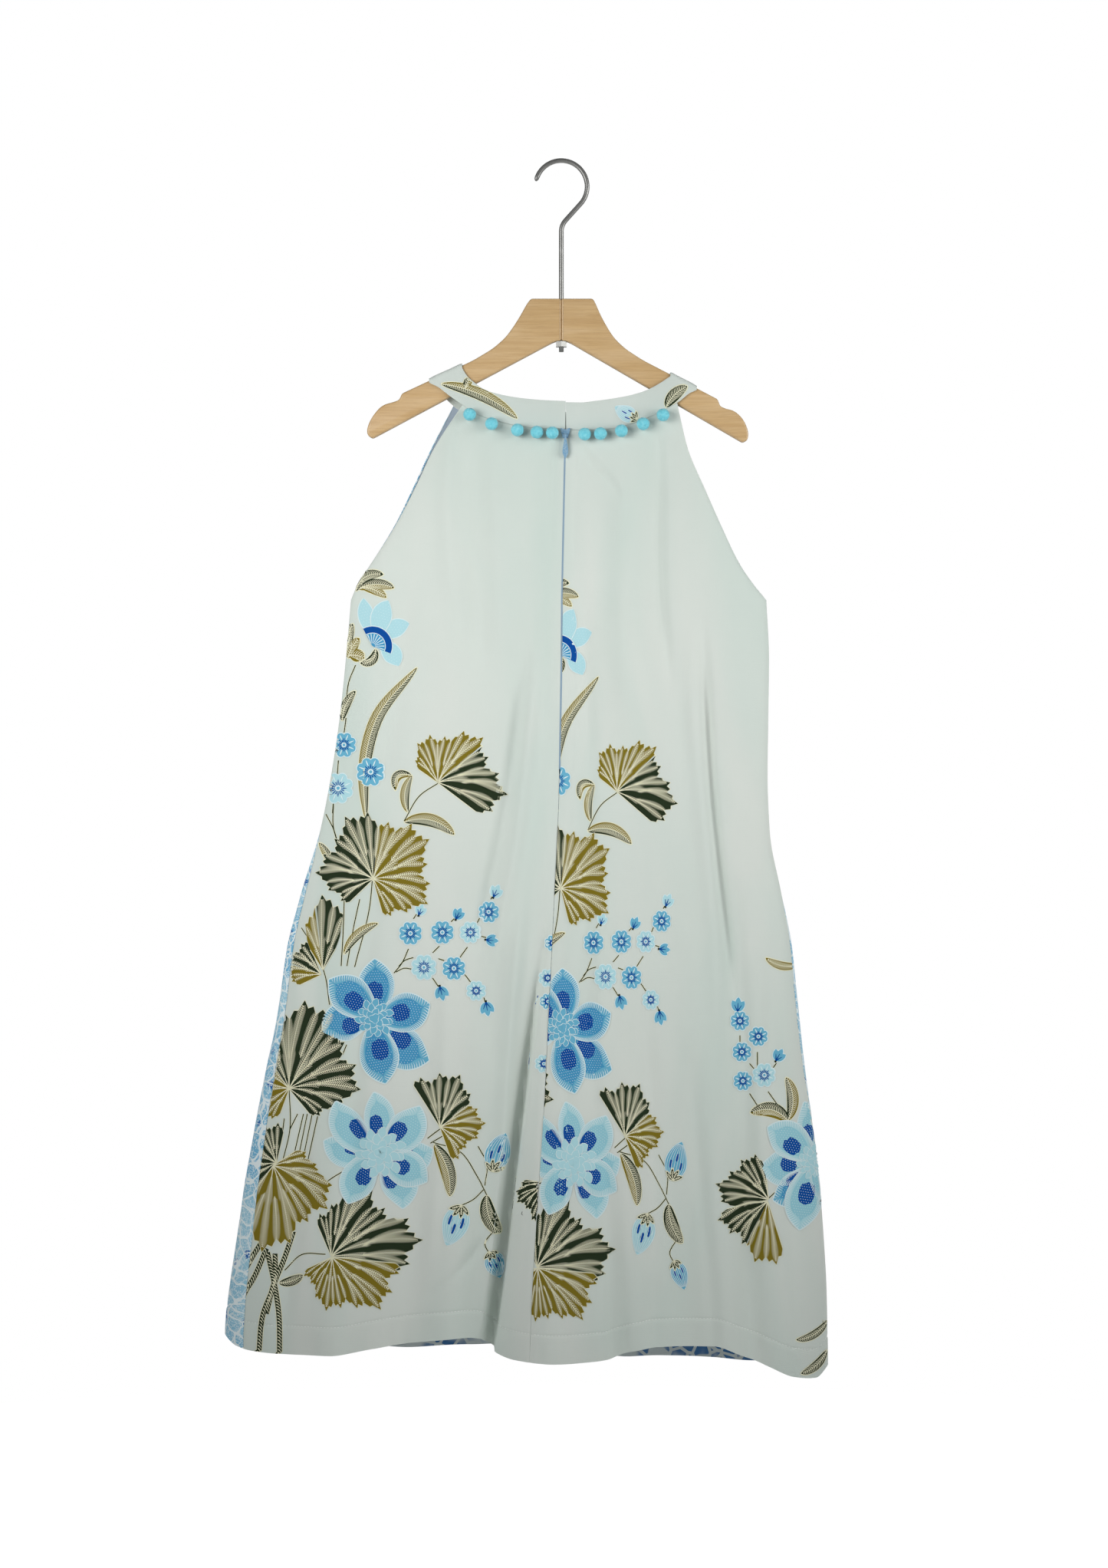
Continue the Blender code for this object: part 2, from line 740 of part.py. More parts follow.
def pompom(name, centre, seed, surface):
    """A ball of twelve locks of yarn on a small twelve-sided core."""
    core = 4.0 / math.sqrt(2)
    corners = [Vector((x, y, z)) * core for x in (-1, 1) for y in (-1, 1) for z in (-1, 1)]
    corners += [Vector(axis) * core * 2 * sign for axis in ((1, 0, 0), (0, 1, 0), (0, 0, 1))
                for sign in (-1, 1)]
    form = bmesh.new()
    for corner in corners:
        form.verts.new(corner)
    bmesh.ops.convex_hull(form, input=form.verts)
    flat = math.radians(1)
    bmesh.ops.dissolve_limit(form, angle_limit=flat, verts=form.verts, edges=form.edges)
    locks = bmesh.ops.extrude_discrete_faces(form, faces=form.faces[:])["faces"]
    for lock in locks:
        middle = lock.calc_center_median()
        end = middle.normalized() * (POMPOM_RADIUS - 0.5)
        for vert in lock.verts:
            vert.co = end + (vert.co - middle) * 0.62
    spin = random.Random(seed)
    turn = Matrix.Rotation(spin.uniform(0, math.tau), 4, "X")
    turn = Matrix.Rotation(spin.uniform(0, math.tau), 4, "Z") @ turn
    bmesh.ops.transform(form, matrix=Matrix.Scale(MM, 4) @ turn, verts=form.verts)
    bmesh.ops.recalc_face_normals(form, faces=form.faces)
    mesh = bpy.data.meshes.new(name)
    form.to_mesh(mesh)
    form.free()
    ball = link(name, mesh, surface)
    ball.location = centre * MM
    return ball


def pompoms(surface):
    """The trim along the band's lower edge, on the back and on the front."""
    for side, places in (("back", POMPOMS_BACK), ("front", POMPOMS_FRONT)):
        for count, x in enumerate(places, 1):
            rows = FRONT_BAND
            if side == "back":
                rows = BACK_BAND_LEFT if x < ZIP_X else BACK_BAND_RIGHT
            edge = band_low_edge(rows, x, side)
            out = BAND_CLOTH / 2 + SEAM + POMPOM_RADIUS
            edge.y += -out if side == "back" else out
            edge.z -= POMPOM_DROP
            pompom(f"pompom_{side}_{count}", edge, count + 20 * len(side), surface)


# The hanger

def inset(outline, distance):
    """An outline moved in by a distance, its corners kept."""
    made = []
    for i, point in enumerate(outline):
        here = Vector(point)
        before = (here - Vector(outline[i - 1])).normalized()
        after = (Vector(outline[(i + 1) % len(outline)]) - here).normalized()
        in_before = Vector((-before.y, before.x))
        in_after = Vector((-after.y, after.x))
        miter = (in_before + in_after).normalized()
        made.append(here + miter * distance / max(miter.dot(in_before), 0.5))
    return made


def hanger_form():
    """Both arms as one rounded board, with x and z from the outline."""
    outline = [(x, -down) for x, down in ARM_LEFT + ARM_RIGHT]
    layers = []
    for angle in (-90, -45, 0):
        a = math.radians(angle)
        y = -(WOOD_HALF_THICK - WOOD_ROUND) + WOOD_ROUND * math.sin(a)
        layers.append((y, WOOD_ROUND * (1 - math.cos(a))))
    layers += [(-y, depth) for y, depth in reversed(layers)]
    size = len(outline)
    points = []
    for y, depth in layers:
        points += [(p.x, y, p.y) for p in inset(outline, depth)]
    faces = [list(range(size)), list(range(len(points) - size, len(points)))[::-1]]
    for layer in range(len(layers) - 1):
        for corner in range(size):
            here = layer * size + corner
            there = layer * size + (corner + 1) % size
            faces.append([here, here + size, there + size, there])
    mesh = mesh_of("hanger", points, faces)
    fix = bmesh.new()
    fix.from_mesh(mesh)
    bmesh.ops.recalc_face_normals(fix, faces=fix.faces)
    fix.to_mesh(mesh)
    fix.free()
    return mesh


def hanger_arm(name, side, surface):
    """One arm of the hanger, up to the joint in the middle, with half the shank's hole."""
    arm = link(name, hanger_form(), surface)
    reach = 260
    block = [(side * SEAM / 2, -100), (side * reach, -100), (side * reach, -330), (side * SEAM / 2, -330)]
    shape(arm, "INTERSECT", plate(block, -20, 20))
    shape(arm, "DIFFERENCE", rod(SHANK_HOLE_RADIUS, 90, Vector((0, 0, -165)), "Z", 16))
    return arm


def hook(surface):
    """The wire hook: three quarters of a ring, a sweep back to the middle and the shank."""
    centre = Vector((0, 0, WIRE_RADIUS - HOOK_RADIUS))
    course = []
    for degrees in range(166, -43, -8):
        a = math.radians(degrees)
        course.append(centre + Vector((math.cos(a), 0, math.sin(a))) * HOOK_RADIUS)
    heading = math.radians(48)
    leave = course[-1]
    bend = 18.0
    run = leave.x / math.cos(heading)
    corner = Vector((0, 0, leave.z - run * math.sin(heading)))
    tangent = bend * math.tan((math.pi / 2 - heading) / 2)
    start = corner + (leave - corner).normalized() * tangent
    stop = corner - Vector((0, 0, tangent))
    for step in range(7):
        u = step / 6
        course.append(start * (1 - u) ** 2 + corner * 2 * u * (1 - u) + stop * u ** 2)
    course.append(Vector((0, 0, -135)))
    course.append(Vector((0, 0, -SHANK_END_DOWN)))
    line = bpy.data.curves.new("hook", "CURVE")
    line.dimensions = "3D"
    line.bevel_depth = WIRE_RADIUS * MM
    line.bevel_resolution = 2
    line.use_fill_caps = True
    spline = line.splines.new("POLY")
    spline.points.add(len(course) - 1)
    for stop, point in zip(course, spline.points):
        point.co = (*(stop * MM), 1)
    made = bpy.data.objects.new("hook", line)
    bpy.context.scene.collection.objects.link(made)
    line.materials.append(surface)
    return made


def hook_nut(surface):
    """The nut that holds the shank under the middle of the hanger."""
    middle = Vector((0, 0, -NUT_SEAT_DOWN - SEAM - NUT_HEIGHT / 2))
    nut = link("hook_nut", rod(6.4, NUT_HEIGHT, middle, "Z", 6), surface)
    shape(nut, "DIFFERENCE", rod(SHANK_HOLE_RADIUS, 30, middle, "Z", 16))
    return nut


def main():
    for old in list(bpy.data.objects):
        bpy.data.objects.remove(old)
    cotton = material("cotton", (0.64, 0.71, 0.66), 0.9)
    band_cotton = material("band_cotton", (0.60, 0.67, 0.62), 0.9)
    yarn = material("yarn", (0.18, 0.66, 0.80), 0.95)
    nylon = material("nylon", (0.30, 0.48, 0.66), 0.5)
    enamel = material("enamel", (0.36, 0.55, 0.74), 0.35, 0.3)
    wood = material("wood", (0.68, 0.45, 0.22), 0.5)
    steel = material("steel", (0.60, 0.60, 0.60), 0.3, 1.0)

    cloth_panel("back_right", BACK_RIGHT, BACK_COLUMNS, "seam", "zip", cotton)
    cloth_panel("back_left", BACK_LEFT, BACK_COLUMNS, "zip", "seam", cotton)
    cloth_panel("front", FRONT, FRONT_COLUMNS, "seam", "seam", cotton)
    neckband(band_cotton)
    zip_chain(nylon)
    zip_slider(enamel)
    zip_pull(enamel)
    pompoms(yarn)
    hanger_arm("hanger_left", -1, wood)
    hanger_arm("hanger_right", 1, wood)
    hook(steel)
    hook_nut(steel)


main()
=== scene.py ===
"""A halter dress on a wooden hanger, seen from its back, dressed over its CAD frame.

Metres, +Z up. The back of the dress faces -Y, and +X is to the right when looking at it.
The tables and the flat drawings are in millimetres. "Down" is millimetres below the
origin, which is the inside top of the hanger's hook.
"""

import math
import random

import bmesh
import bpy
import numpy as np
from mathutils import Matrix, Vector, noise
from mathutils.bvhtree import BVHTree


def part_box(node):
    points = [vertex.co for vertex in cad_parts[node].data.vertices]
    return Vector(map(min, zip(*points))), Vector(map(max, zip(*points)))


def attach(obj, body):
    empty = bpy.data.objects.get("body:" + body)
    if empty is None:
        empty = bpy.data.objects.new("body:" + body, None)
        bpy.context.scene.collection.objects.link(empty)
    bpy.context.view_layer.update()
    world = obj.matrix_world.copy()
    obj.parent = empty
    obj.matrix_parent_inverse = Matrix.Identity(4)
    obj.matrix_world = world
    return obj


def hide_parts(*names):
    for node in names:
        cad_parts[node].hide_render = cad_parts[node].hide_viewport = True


MM = 0.001

# The same driving sizes as the solids, in millimetres
CLOTH = 1.2
BAND_CLOTH = 1.8
SEAM = 0.3
UNDERARM_DOWN = 456.0
HEM_DOWN = 1240.0
HEM_TURN = 29.0
ROUNDNESS = 2.5
ZIP_END_DOWN = 632.0
ZIP_X = 4.2
POMPOM_RADIUS = 7.3
WOOD_HALF_THICK = 6.0
WOOD_ROUND = 2.0
WIRE_RADIUS = 2.5
HOOK_RADIUS = 27.0
HOOK_STARTS = 168
HOOK_LEAVES = -42
SWEEP_RADIUS = 18.0
BOARD_TOP_DOWN = 142.0
NUT_SEAT_DOWN = 186.1
SHANK_END_DOWN = 197.0
EDGE_BLEND = 1 / 26

# The zip's slot, drawn narrower than in the solids, closes over a length below the zip
ZIP_SLOT = 1.7
SLOT_CLOSES = 8.0

# The zip's coil: where it starts, how far it lies from the left panel's edge, how deep,
# and the size of its rungs
COIL_TOP_DOWN = 282.0
COIL_TO_RIGHT = 1.2
COIL_DEPTH = 0.15
COIL_PITCH = 1.15
COIL_HALF = 0.82
COIL_SLANT = 0.16
COIL_THREAD = 0.36

# The stitches of the hem
STITCH_PITCH = 3.6
STITCH_LENGTH = 2.2
STITCH_THREAD = 0.34
STITCH_LIFT = 0.05
BAR_SIDES = 5

# The grids of the cloth shells
BODICE_STEPS = 34
SKIRT_STEPS = 112
BACK_COLUMNS = 144
FRONT_COLUMNS = 170

# The creases wander to either side, fade out at both ends, and calm down towards the edges
CREASE_WANDER = 2.5
CREASE_WAVES = 7
CREASE_FADE = 3.5
CALM_BESIDE_EDGE = 22
CALM_UNDER_TOP = 30

# The cloth's own unevenness, and its dips at the hem's stitches, below them, at a seam and
# along the row of stitches beside the zip
BROAD_UNEVEN = 0.60
FINE_UNEVEN = 0.30
HEM_DIP = 0.55
HEM_STEP = 0.35
HEM_WAVER = 0.12
SEAM_DIP = 0.35
ZIP_DIP = 0.34
ZIP_PUCKER = 0.16
ZIP_STITCHES_IN = 7.5

# How far the band clears the wood over its top
BAND_CLEARS = 0.3
BAND_RISES = 1.08

# The threads of a pompom
THREADS = 620
GOLDEN_ANGLE = 2.399963
CORE_RADIUS = POMPOM_RADIUS - 0.8
ROOT_RADIUS = POMPOM_RADIUS - 1.6
THREAD_HALF = 0.26

# The rounding at the corners of the hanger's outline, and the spacing of its points
WIDE_CORNER = 7.0
SHARP_CORNER = 2.2
SHARP_BEND = 38.0
OUTLINE_STEP = 8.0

# The tube of the dress
BODY_COLUMNS = ("down", "left", "right", "depth", "left_turn", "right_turn", "centre_back")
BODY_ROWS = (
    (456, -219.4, 214.0, 20.0, 0.0, 0.0, 0.6),
    (518, -224.8, 216.8, 21.0, 0.0, 0.0, 0.2),
    (578, -231.2, 216.0, 22.5, 0.0, 0.0, -0.8),
    (638, -240.0, 215.2, 24.0, 0.0, 0.0, -1.8),
    (698, -252.0, 217.6, 27.0, 0.0, 0.0, -4.0),
    (758, -270.4, 228.8, 30.0, 4.5, 0.0, -7.0),
    (818, -285.6, 240.8, 34.0, 6.5, 2.0, -9.8),
    (878, -294.4, 247.2, 38.0, 8.0, 3.0, -12.8),
    (938, -306.4, 253.6, 41.0, 10.0, 2.0, -15.6),
    (998, -318.4, 261.6, 43.0, 12.5, 0.0, -19.0),
    (1058, -329.6, 268.8, 45.0, 15.5, 0.0, -23.0),
    (1118, -338.4, 273.6, 47.0, 17.5, 0.0, -27.0),
    (1178, -347.2, 276.8, 49.0, 20.0, 0.0, -30.5),
    (1218, -350.4, 277.6, 50.0, 21.0, 0.0, -32.0),
    (1270, -352.0, 278.0, 51.0, 22.0, 0.0, -33.0),
)

HEM_COLUMNS = ("across", "back", "front")
HEM_ROWS = (
    (-352, 1219, 1219),
    (-337, 1230, 1230),
    (-320, 1234, 1233),
    (-290, 1236, 1237),
    (-240, 1236, 1239),
    (-194, 1229, 1240),
    (-153, 1223, 1240),
    (-102, 1219, 1240),
    (-84, 1221, 1240),
    (-70, 1234, 1240),
    (-47, 1240, 1241),
    (-2, 1243, 1244),
    (47, 1240, 1248),
    (72, 1232, 1250),
    (102, 1228, 1251),
    (158, 1228, 1252),
    (187, 1238, 1253),
    (216, 1250, 1254),
    (240, 1260, 1260),
    (264, 1263, 1263),
    (278, 1252, 1252),
)

ARMHOLE_COLUMNS = ("down", "back_left", "back_right", "front_left", "front_right")
ARMHOLE_ROWS = (
    (250, -101.5, 120.8, -112.0, 121.0),
    (298, -132.8, 132.0, -137.0, 132.0),
    (338, -152.0, 148.8, -155.5, 148.8),
    (378, -172.8, 166.4, -175.0, 166.4),
    (418, -198.4, 185.6, -199.5, 185.6),
    (438, -212.0, 199.2, -212.5, 199.2),
    (456, -219.4, 214.0, -219.4, 214.0),
)

# The folds of the solids: soft troughs, or ridges where the depth is less than nothing
FOLD_COLUMNS = ("side", "top_x", "top_down", "end_x", "end_down", "depth", "width")
FOLD_ROWS = (
    ("back", -26, 740, -80, 1231, 24, 25),
    ("back", 22, 780, 58, 1230, 9, 12),
    ("back", -4, 820, -12, 1240, -9, 34),
    ("back", 104, 700, 128, 1232, 12, 34),
    ("back", 144, 500, 200, 1240, 8, 16),
    ("back", -128, 800, -158, 1226, 7, 26),
    ("back", -215, 880, -238, 1236, -6, 26),
    ("back", 228, 900, 246, 1262, -6, 20),
    ("front", -118, 740, -160, 1240, 17, 30),
    ("front", 38, 760, 62, 1250, 19, 26),
    ("front", 150, 700, 196, 1253, 12, 26),
    ("front", -40, 860, -52, 1240, -6, 30),
)

# Finer creases, laid on the cloth along its normal, which fade out at both ends
CREASE_COLUMNS = ("side", "top_x", "top_down", "end_x", "end_down", "depth", "width")
CREASE_ROWS = (
    ("back", -31, 700, -96, 1310, -8.1, 9),
    ("back", -1, 700, -103, 1400, 15.0, 4.6),
    ("back", 8, 560, -24, 1290, -3.8, 13),
    ("back", -98, 250, -78, 560, 6.5, 13),
    ("back", -122, 262, -112, 480, -3.0, 8),
    ("back", 98, 262, 112, 560, 4.2, 5),
    ("back", 60, 285, 70, 600, -3.6, 14),
    ("back", 143, 460, 180, 920, 6.3, 5.0),
    ("back", 132, 460, 166, 960, -4.0, 9),
    ("back", 178, 700, 204, 1290, 4.1, 9),
    ("back", -150, 420, -196, 700, 2.6, 11),
    ("back", -18, 500, -72, 860, -5.0, 8),
    ("back", -30, 480, -92, 860, 5.0, 7),
    ("back", 26, 420, 24, 860, 3.4, 9),
    ("back", -112, 760, -138, 1200, -2.6, 9),
    ("back", -190, 700, -228, 1180, 2.9, 10),
    ("back", -250, 820, -292, 1290, 3.2, 9),
    ("back", -152, 1190, -62, 1106, 2.8, 3.6),
    ("back", 6, 640, 2, 1290, 2.0, 6),
    ("back", 44, 700, 40, 1290, -2.3, 9),
    ("back", 84, 820, 100, 1290, 3.2, 9),
    ("back", 138, 930, 160, 1290, 2.8, 7),
    ("back", 212, 760, 236, 1290, 2.9, 10),
    ("back", 12, 282, 64, 356, 2.4, 4.5),
    ("front", -96, 300, -110, 620, 3.2, 9),
    ("front", 90, 300, 104, 620, 3.2, 9),
    ("front", -20, 330, -34, 800, 2.9, 13),
    ("front", 40, 400, 22, 900, 2.8, 12),
    ("front", -190, 640, -236, 1240, 3.5, 10),
    ("front", 176, 620, 226, 1260, 3.5, 10),
    ("front", -70, 800, -96, 1280, 4.6, 6),
    ("front", 104, 820, 128, 1280, -3.2, 8),
)

# The neckband: its neck edge, its lower edge, and how far it lies from the middle plane
BAND_COLUMNS = ("top_x", "top_down", "low_x", "low_down", "out")
BACK_BAND_LEFT = (
    (-98.5, 222.5, -127.5, 235.0, 7.8),
    (-90.4, 230.0, -116.5, 243.6, 8.0),
    (-82.0, 236.0, -103.2, 252.8, 8.2),
    (-73.6, 239.6, -88.8, 262.6, 8.5),
    (-57.6, 243.6, -63.2, 271.0, 9.0),
    (-36.8, 246.8, -43.2, 275.4, 9.4),
    (-17.6, 248.4, -18.0, 277.8, 9.8),
    (4.58, 249.4, 4.1, 278.4, 10.0),
)
BACK_BAND_RIGHT = (
    (4.62, 250.6, 5.1, 278.8, 10.0),
    (20.0, 250.8, 22.0, 279.4, 9.9),
    (35.2, 249.2, 48.0, 278.4, 9.5),
    (66.4, 244.4, 72.0, 273.2, 9.0),
    (88.0, 238.2, 102.0, 261.0, 8.5),
    (102.0, 231.0, 121.5, 250.4, 8.2),
    (109.5, 226.0, 133.5, 241.0, 7.8),
)
FRONT_BAND = (
    (-98.0, 223.5, -129.0, 236.5, 7.8),
    (-88.0, 232.5, -113.0, 252.2, 8.2),
    (-73.0, 243.0, -90.0, 267.0, 8.6),
    (-50.0, 252.0, -58.0, 279.5, 9.2),
    (-25.0, 257.0, -28.0, 286.0, 9.8),
    (4.0, 258.6, 4.0, 288.0, 10.2),
    (33.0, 257.0, 36.0, 286.0, 9.8),
    (60.0, 252.0, 67.0, 279.5, 9.2),
    (86.0, 243.0, 100.0, 266.0, 8.6),
    (102.0, 232.0, 121.5, 251.6, 8.2),
    (109.5, 226.5, 133.5, 241.5, 7.8),
)
BAND_CREST_LEFT = (-103.4, -137.6)
BAND_CREST_RIGHT = (113.6, 141.0)

# The arms' outlines, x and down: the left from the top and back under, the right the other way
ARM_LEFT = (
    (-31.5, BOARD_TOP_DOWN), (-36.0, 147.5), (-41.6, 158.0), (-49.0, 170.0), (-58.0, 182.5),
    (-71.2, 194.0), (-92.0, 206.5), (-130.0, 224.0), (-166.0, 240.8), (-169.0, 247.5),
    (-175.0, 249.8), (-187.2, 253.0), (-197.6, 265.5), (-202.6, 277.0), (-202.0, 284.0),
    (-196.8, 287.6), (-6.5, NUT_SEAT_DOWN),
)
ARM_RIGHT = (
    (6.5, NUT_SEAT_DOWN), (189.0, 291.8), (194.2, 289.0), (195.4, 281.0), (190.0, 267.5),
    (180.4, 258.5), (171.0, 256.6), (165.6, 254.0), (163.0, 246.8), (115.0, 221.6),
    (84.8, 206.0), (66.4, 194.0), (54.5, 182.5), (46.8, 170.0), (40.4, 158.0),
    (36.0, 147.5), (33.0, BOARD_TOP_DOWN),
)


# Reading the tables

def smooth(keys, values, at):
    """Reads a column between its rows, along a curve with no kink and no overshoot."""
    keys = np.asarray(keys, float)
    values = np.asarray(values, float)
    at = np.clip(at, keys[0], keys[-1])
    step = np.diff(keys)
    slope = np.diff(values) / step
    before = slope[:-1]
    after = slope[1:]
    agree = before * after > 0
    total = np.where(agree, before + after, 1.0)
    inside = np.where(agree, 2 * before * after / total, 0.0)
    tangent = np.concatenate(([slope[0]], inside, [slope[-1]]))
    i = np.clip(np.searchsorted(keys, at) - 1, 0, len(step) - 1)
    u = (at - keys[i]) / step[i]
    ends = (1 + 2 * u) * (1 - u) ** 2 * values[i] + u * u * (3 - 2 * u) * values[i + 1]
    pull = u * (1 - u) ** 2 * tangent[i] - u * u * (1 - u) * tangent[i + 1]
    return ends + pull * step[i]


def column(columns, rows, name):
    """One named column of a table."""
    place = columns.index(name)
    return [row[place] for row in rows]


def read(columns, rows, name, at):
    """A table's named column, read at values of its first column."""
    return smooth(column(columns, rows, columns[0]), column(columns, rows, name), at)


def body(name, down):
    return read(BODY_COLUMNS, BODY_ROWS, name, down)


def ease(u):
    """A soft step from 0 to 1."""
    u = np.clip(u, 0.0, 1.0)
    return u * u * (3 - 2 * u)


def blend(a, b, u):
    return a + (b - a) * u


def stack(x, y, z):
    return np.stack(np.broadcast_arrays(x, y, z), axis=-1)


def curve(start, middle, end, u):
    """A curve that leaves its start and meets its end heading for the middle."""
    return start * (1 - u) ** 2 + middle * 2 * u * (1 - u) + end * u * u


def reaches(line):
    """How far along a line each of its points lies."""
    return np.concatenate(([0.0], np.cumsum(np.linalg.norm(np.diff(line, axis=0), axis=1))))


def sampled(at, keys, values):
    """Rows of values read at places between their keys."""
    return np.stack([np.interp(at, keys, part) for part in values.T], axis=-1)


def grid_faces(shape):
    """The cells of a grid of points, or of many grids of one size."""
    index = np.arange(math.prod(shape)).reshape(shape)
    corners = (index[..., :-1, :-1], index[..., :-1, 1:], index[..., 1:, 1:], index[..., 1:, :-1])
    return np.stack(corners, -1).reshape(-1, 4)


# The tube of the dress, as in the solids but for whole grids at once

def fold_shift(side, x, down):
    """How far the folds move the cloth in towards the hollow."""
    shift = np.zeros(np.broadcast(x, down).shape)
    for row in FOLD_ROWS:
        fold = dict(zip(FOLD_COLUMNS, row))
        if fold["side"] != side:
            continue
        along = (down - fold["top_down"]) / (fold["end_down"] - fold["top_down"])
        middle = blend(fold["top_x"], fold["end_x"], along)
        reach = np.exp(-((x - middle) / fold["width"]) ** 2)
        shift += np.where(along > 0, fold["depth"] * ease(along) * reach, 0.0)
    return shift


def ring(turn, down):
    """Points of the tube: turn runs from the right edge (0) over the back to the left
    edge (2), and on over the front to the right edge again (4)."""
    turn = np.mod(turn, 4)
    on_back = turn < 2
    across = np.where(on_back, 1 - turn, turn - 3)
    left = body("left", down)
    right = body("right", down)
    share = np.sin(np.pi / 2 * across)
    x = (left + right) / 2 + (right - left) / 2 * share
    arch = np.clip(1 - np.abs(share) ** ROUNDNESS, 0, 1) ** (1 / ROUNDNESS)
    folds = np.where(on_back, fold_shift("back", x, down), fold_shift("front", x, down))
    depth = body("depth", down) * arch - folds * (1 - share ** 8)
    return stack(x, np.where(on_back, -depth, depth), -down)


def turn_at(x, down):
    """The turn at which the back of the tube has this x."""
    left = body("left", down)
    right = body("right", down)
    share = (x - (left + right) / 2) / ((right - left) / 2)
    return 1 - np.arcsin(np.clip(share, -1.0, 1.0)) * 2 / np.pi


def right_seam(down):
    return turn_at(body("right", down) - body("right_turn", down), down)


def centre_back(down):
    return turn_at(body("centre_back", down), down)


def left_seam(down):
    return turn_at(body("left", down) + body("left_turn", down), down)


def right_seam_again(down):
    return right_seam(down) + 4


def skirt_point(panel, across, fall):
    """Points below the underarm: across runs from seam to seam, fall from 0 to 1."""
    across, fall = np.broadcast_arrays(across, fall)
    level = blend(UNDERARM_DOWN, HEM_DOWN, fall)
    turn = blend(panel["from_seam"](level), panel["to_seam"](level), across)
    foot = ring(turn, np.full(turn.shape, HEM_DOWN))
    on_front = ease((foot[..., 1] / body("depth", HEM_DOWN) + 0.6) / 1.2)
    hem_back = read(HEM_COLUMNS, HEM_ROWS, "back", foot[..., 0])
    hem_front = read(HEM_COLUMNS, HEM_ROWS, "front", foot[..., 0])
    hem = blend(hem_back, hem_front, on_front)
    return ring(turn, blend(UNDERARM_DOWN, hem, fall))


def band_low_edge(rows, x, side):
    """The band's lower edge at an x: points on the middle of the band's wall."""
    keys = column(BAND_COLUMNS, rows, "low_x")
    down = smooth(keys, column(BAND_COLUMNS, rows, "low_down"), x)
    out = smooth(keys, column(BAND_COLUMNS, rows, "out"), x)
    return stack(x, -out if side == "back" else out, -down)


def panel_top(panel, share):
    """Points of the panel's top edge, just under the band, on the cloth's outer face."""
    x = blend(panel["top_from"], panel["top_to"], share)
    outward = -1 if panel["side"] == "back" else 1
    return band_low_edge(panel["band"], x, panel["side"]) + (0, CLOTH / 2 * outward, -SEAM)


def armhole_point(panel, name, fall):
    """Points of an armhole's edge, from the band (0) to the side seam (1)."""
    first = name.endswith("right") == (panel["side"] == "back")
    corner = panel_top(panel, np.asarray(0.0 if first else 1.0))
    down = blend(-corner[2], UNDERARM_DOWN, fall)
    start = read(ARMHOLE_COLUMNS, ARMHOLE_ROWS, name, -corner[2])
    x = read(ARMHOLE_COLUMNS, ARMHOLE_ROWS, name, down) + (corner[0] - start) * (1 - fall)
    return stack(x, corner[1] * (1 - fall ** 4), -down)


def centre_point(panel, fall):
    """Points of the centre back line, from the band to the underarm's height."""
    top = panel_top(panel, np.asarray(float(panel["centre_share"])))
    foot = skirt_point(panel, float(panel["centre_share"]), 0.0)
    return blend(top, foot, fall[..., None])


def bodice_point(panel, across, fall):
    """Points above the underarm, spanned between the panel's four edges."""
    foot = skirt_point(panel, across, 0.0)
    foot_from = skirt_point(panel, 0.0, 0.0)
    foot_to = skirt_point(panel, 1.0, 0.0)
    share = (foot[..., 0] - foot_from[0]) / (foot_to[0] - foot_from[0])
    share = 0.65 * share + 0.35 * across
    up = 1 - fall[..., None]
    low = fall[..., None]
    first = panel_top(panel, np.asarray(0.0)) * up + foot_from * low
    last = panel_top(panel, np.asarray(1.0)) * up + foot_to * low
    from_gap = panel["from_edge"](panel, fall) - first
    to_gap = panel["to_edge"](panel, fall) - last
    spanned = panel_top(panel, share) * up + foot * low
    return spanned + from_gap * (1 - across[..., None]) + to_gap * across[..., None]


def edge_of(name):
    """The armhole edge with this name, as a function of the panel and the fall."""
    return lambda panel, fall: armhole_point(panel, name, fall)


BACK_RIGHT = {
    "side": "back", "band": BACK_BAND_RIGHT, "top_from": 120.8, "top_to": ZIP_X,
    "from_seam": right_seam, "to_seam": centre_back, "centre_share": 1,
    "from_edge": edge_of("back_right"), "to_edge": centre_point,
}
BACK_LEFT = {
    "side": "back", "band": BACK_BAND_LEFT, "top_from": ZIP_X, "top_to": -103.2,
    "from_seam": centre_back, "to_seam": left_seam, "centre_share": 0,
    "from_edge": centre_point, "to_edge": edge_of("back_left"),
}
FRONT = {
    "side": "front", "band": FRONT_BAND, "top_from": -113.0, "top_to": 121.2,
    "from_seam": left_seam, "to_seam": right_seam_again, "centre_share": 0.5,
    "from_edge": edge_of("front_left"), "to_edge": edge_of("front_right"),
}


# The cloth shells

def grid_normals(points):
    """Unit normals of a grid whose columns run sideways and whose rows run down."""
    sideways = np.gradient(points, axis=1)
    downward = np.gradient(points, axis=0)
    normal = np.cross(sideways, downward)
    return normal / np.linalg.norm(normal, axis=-1, keepdims=True)


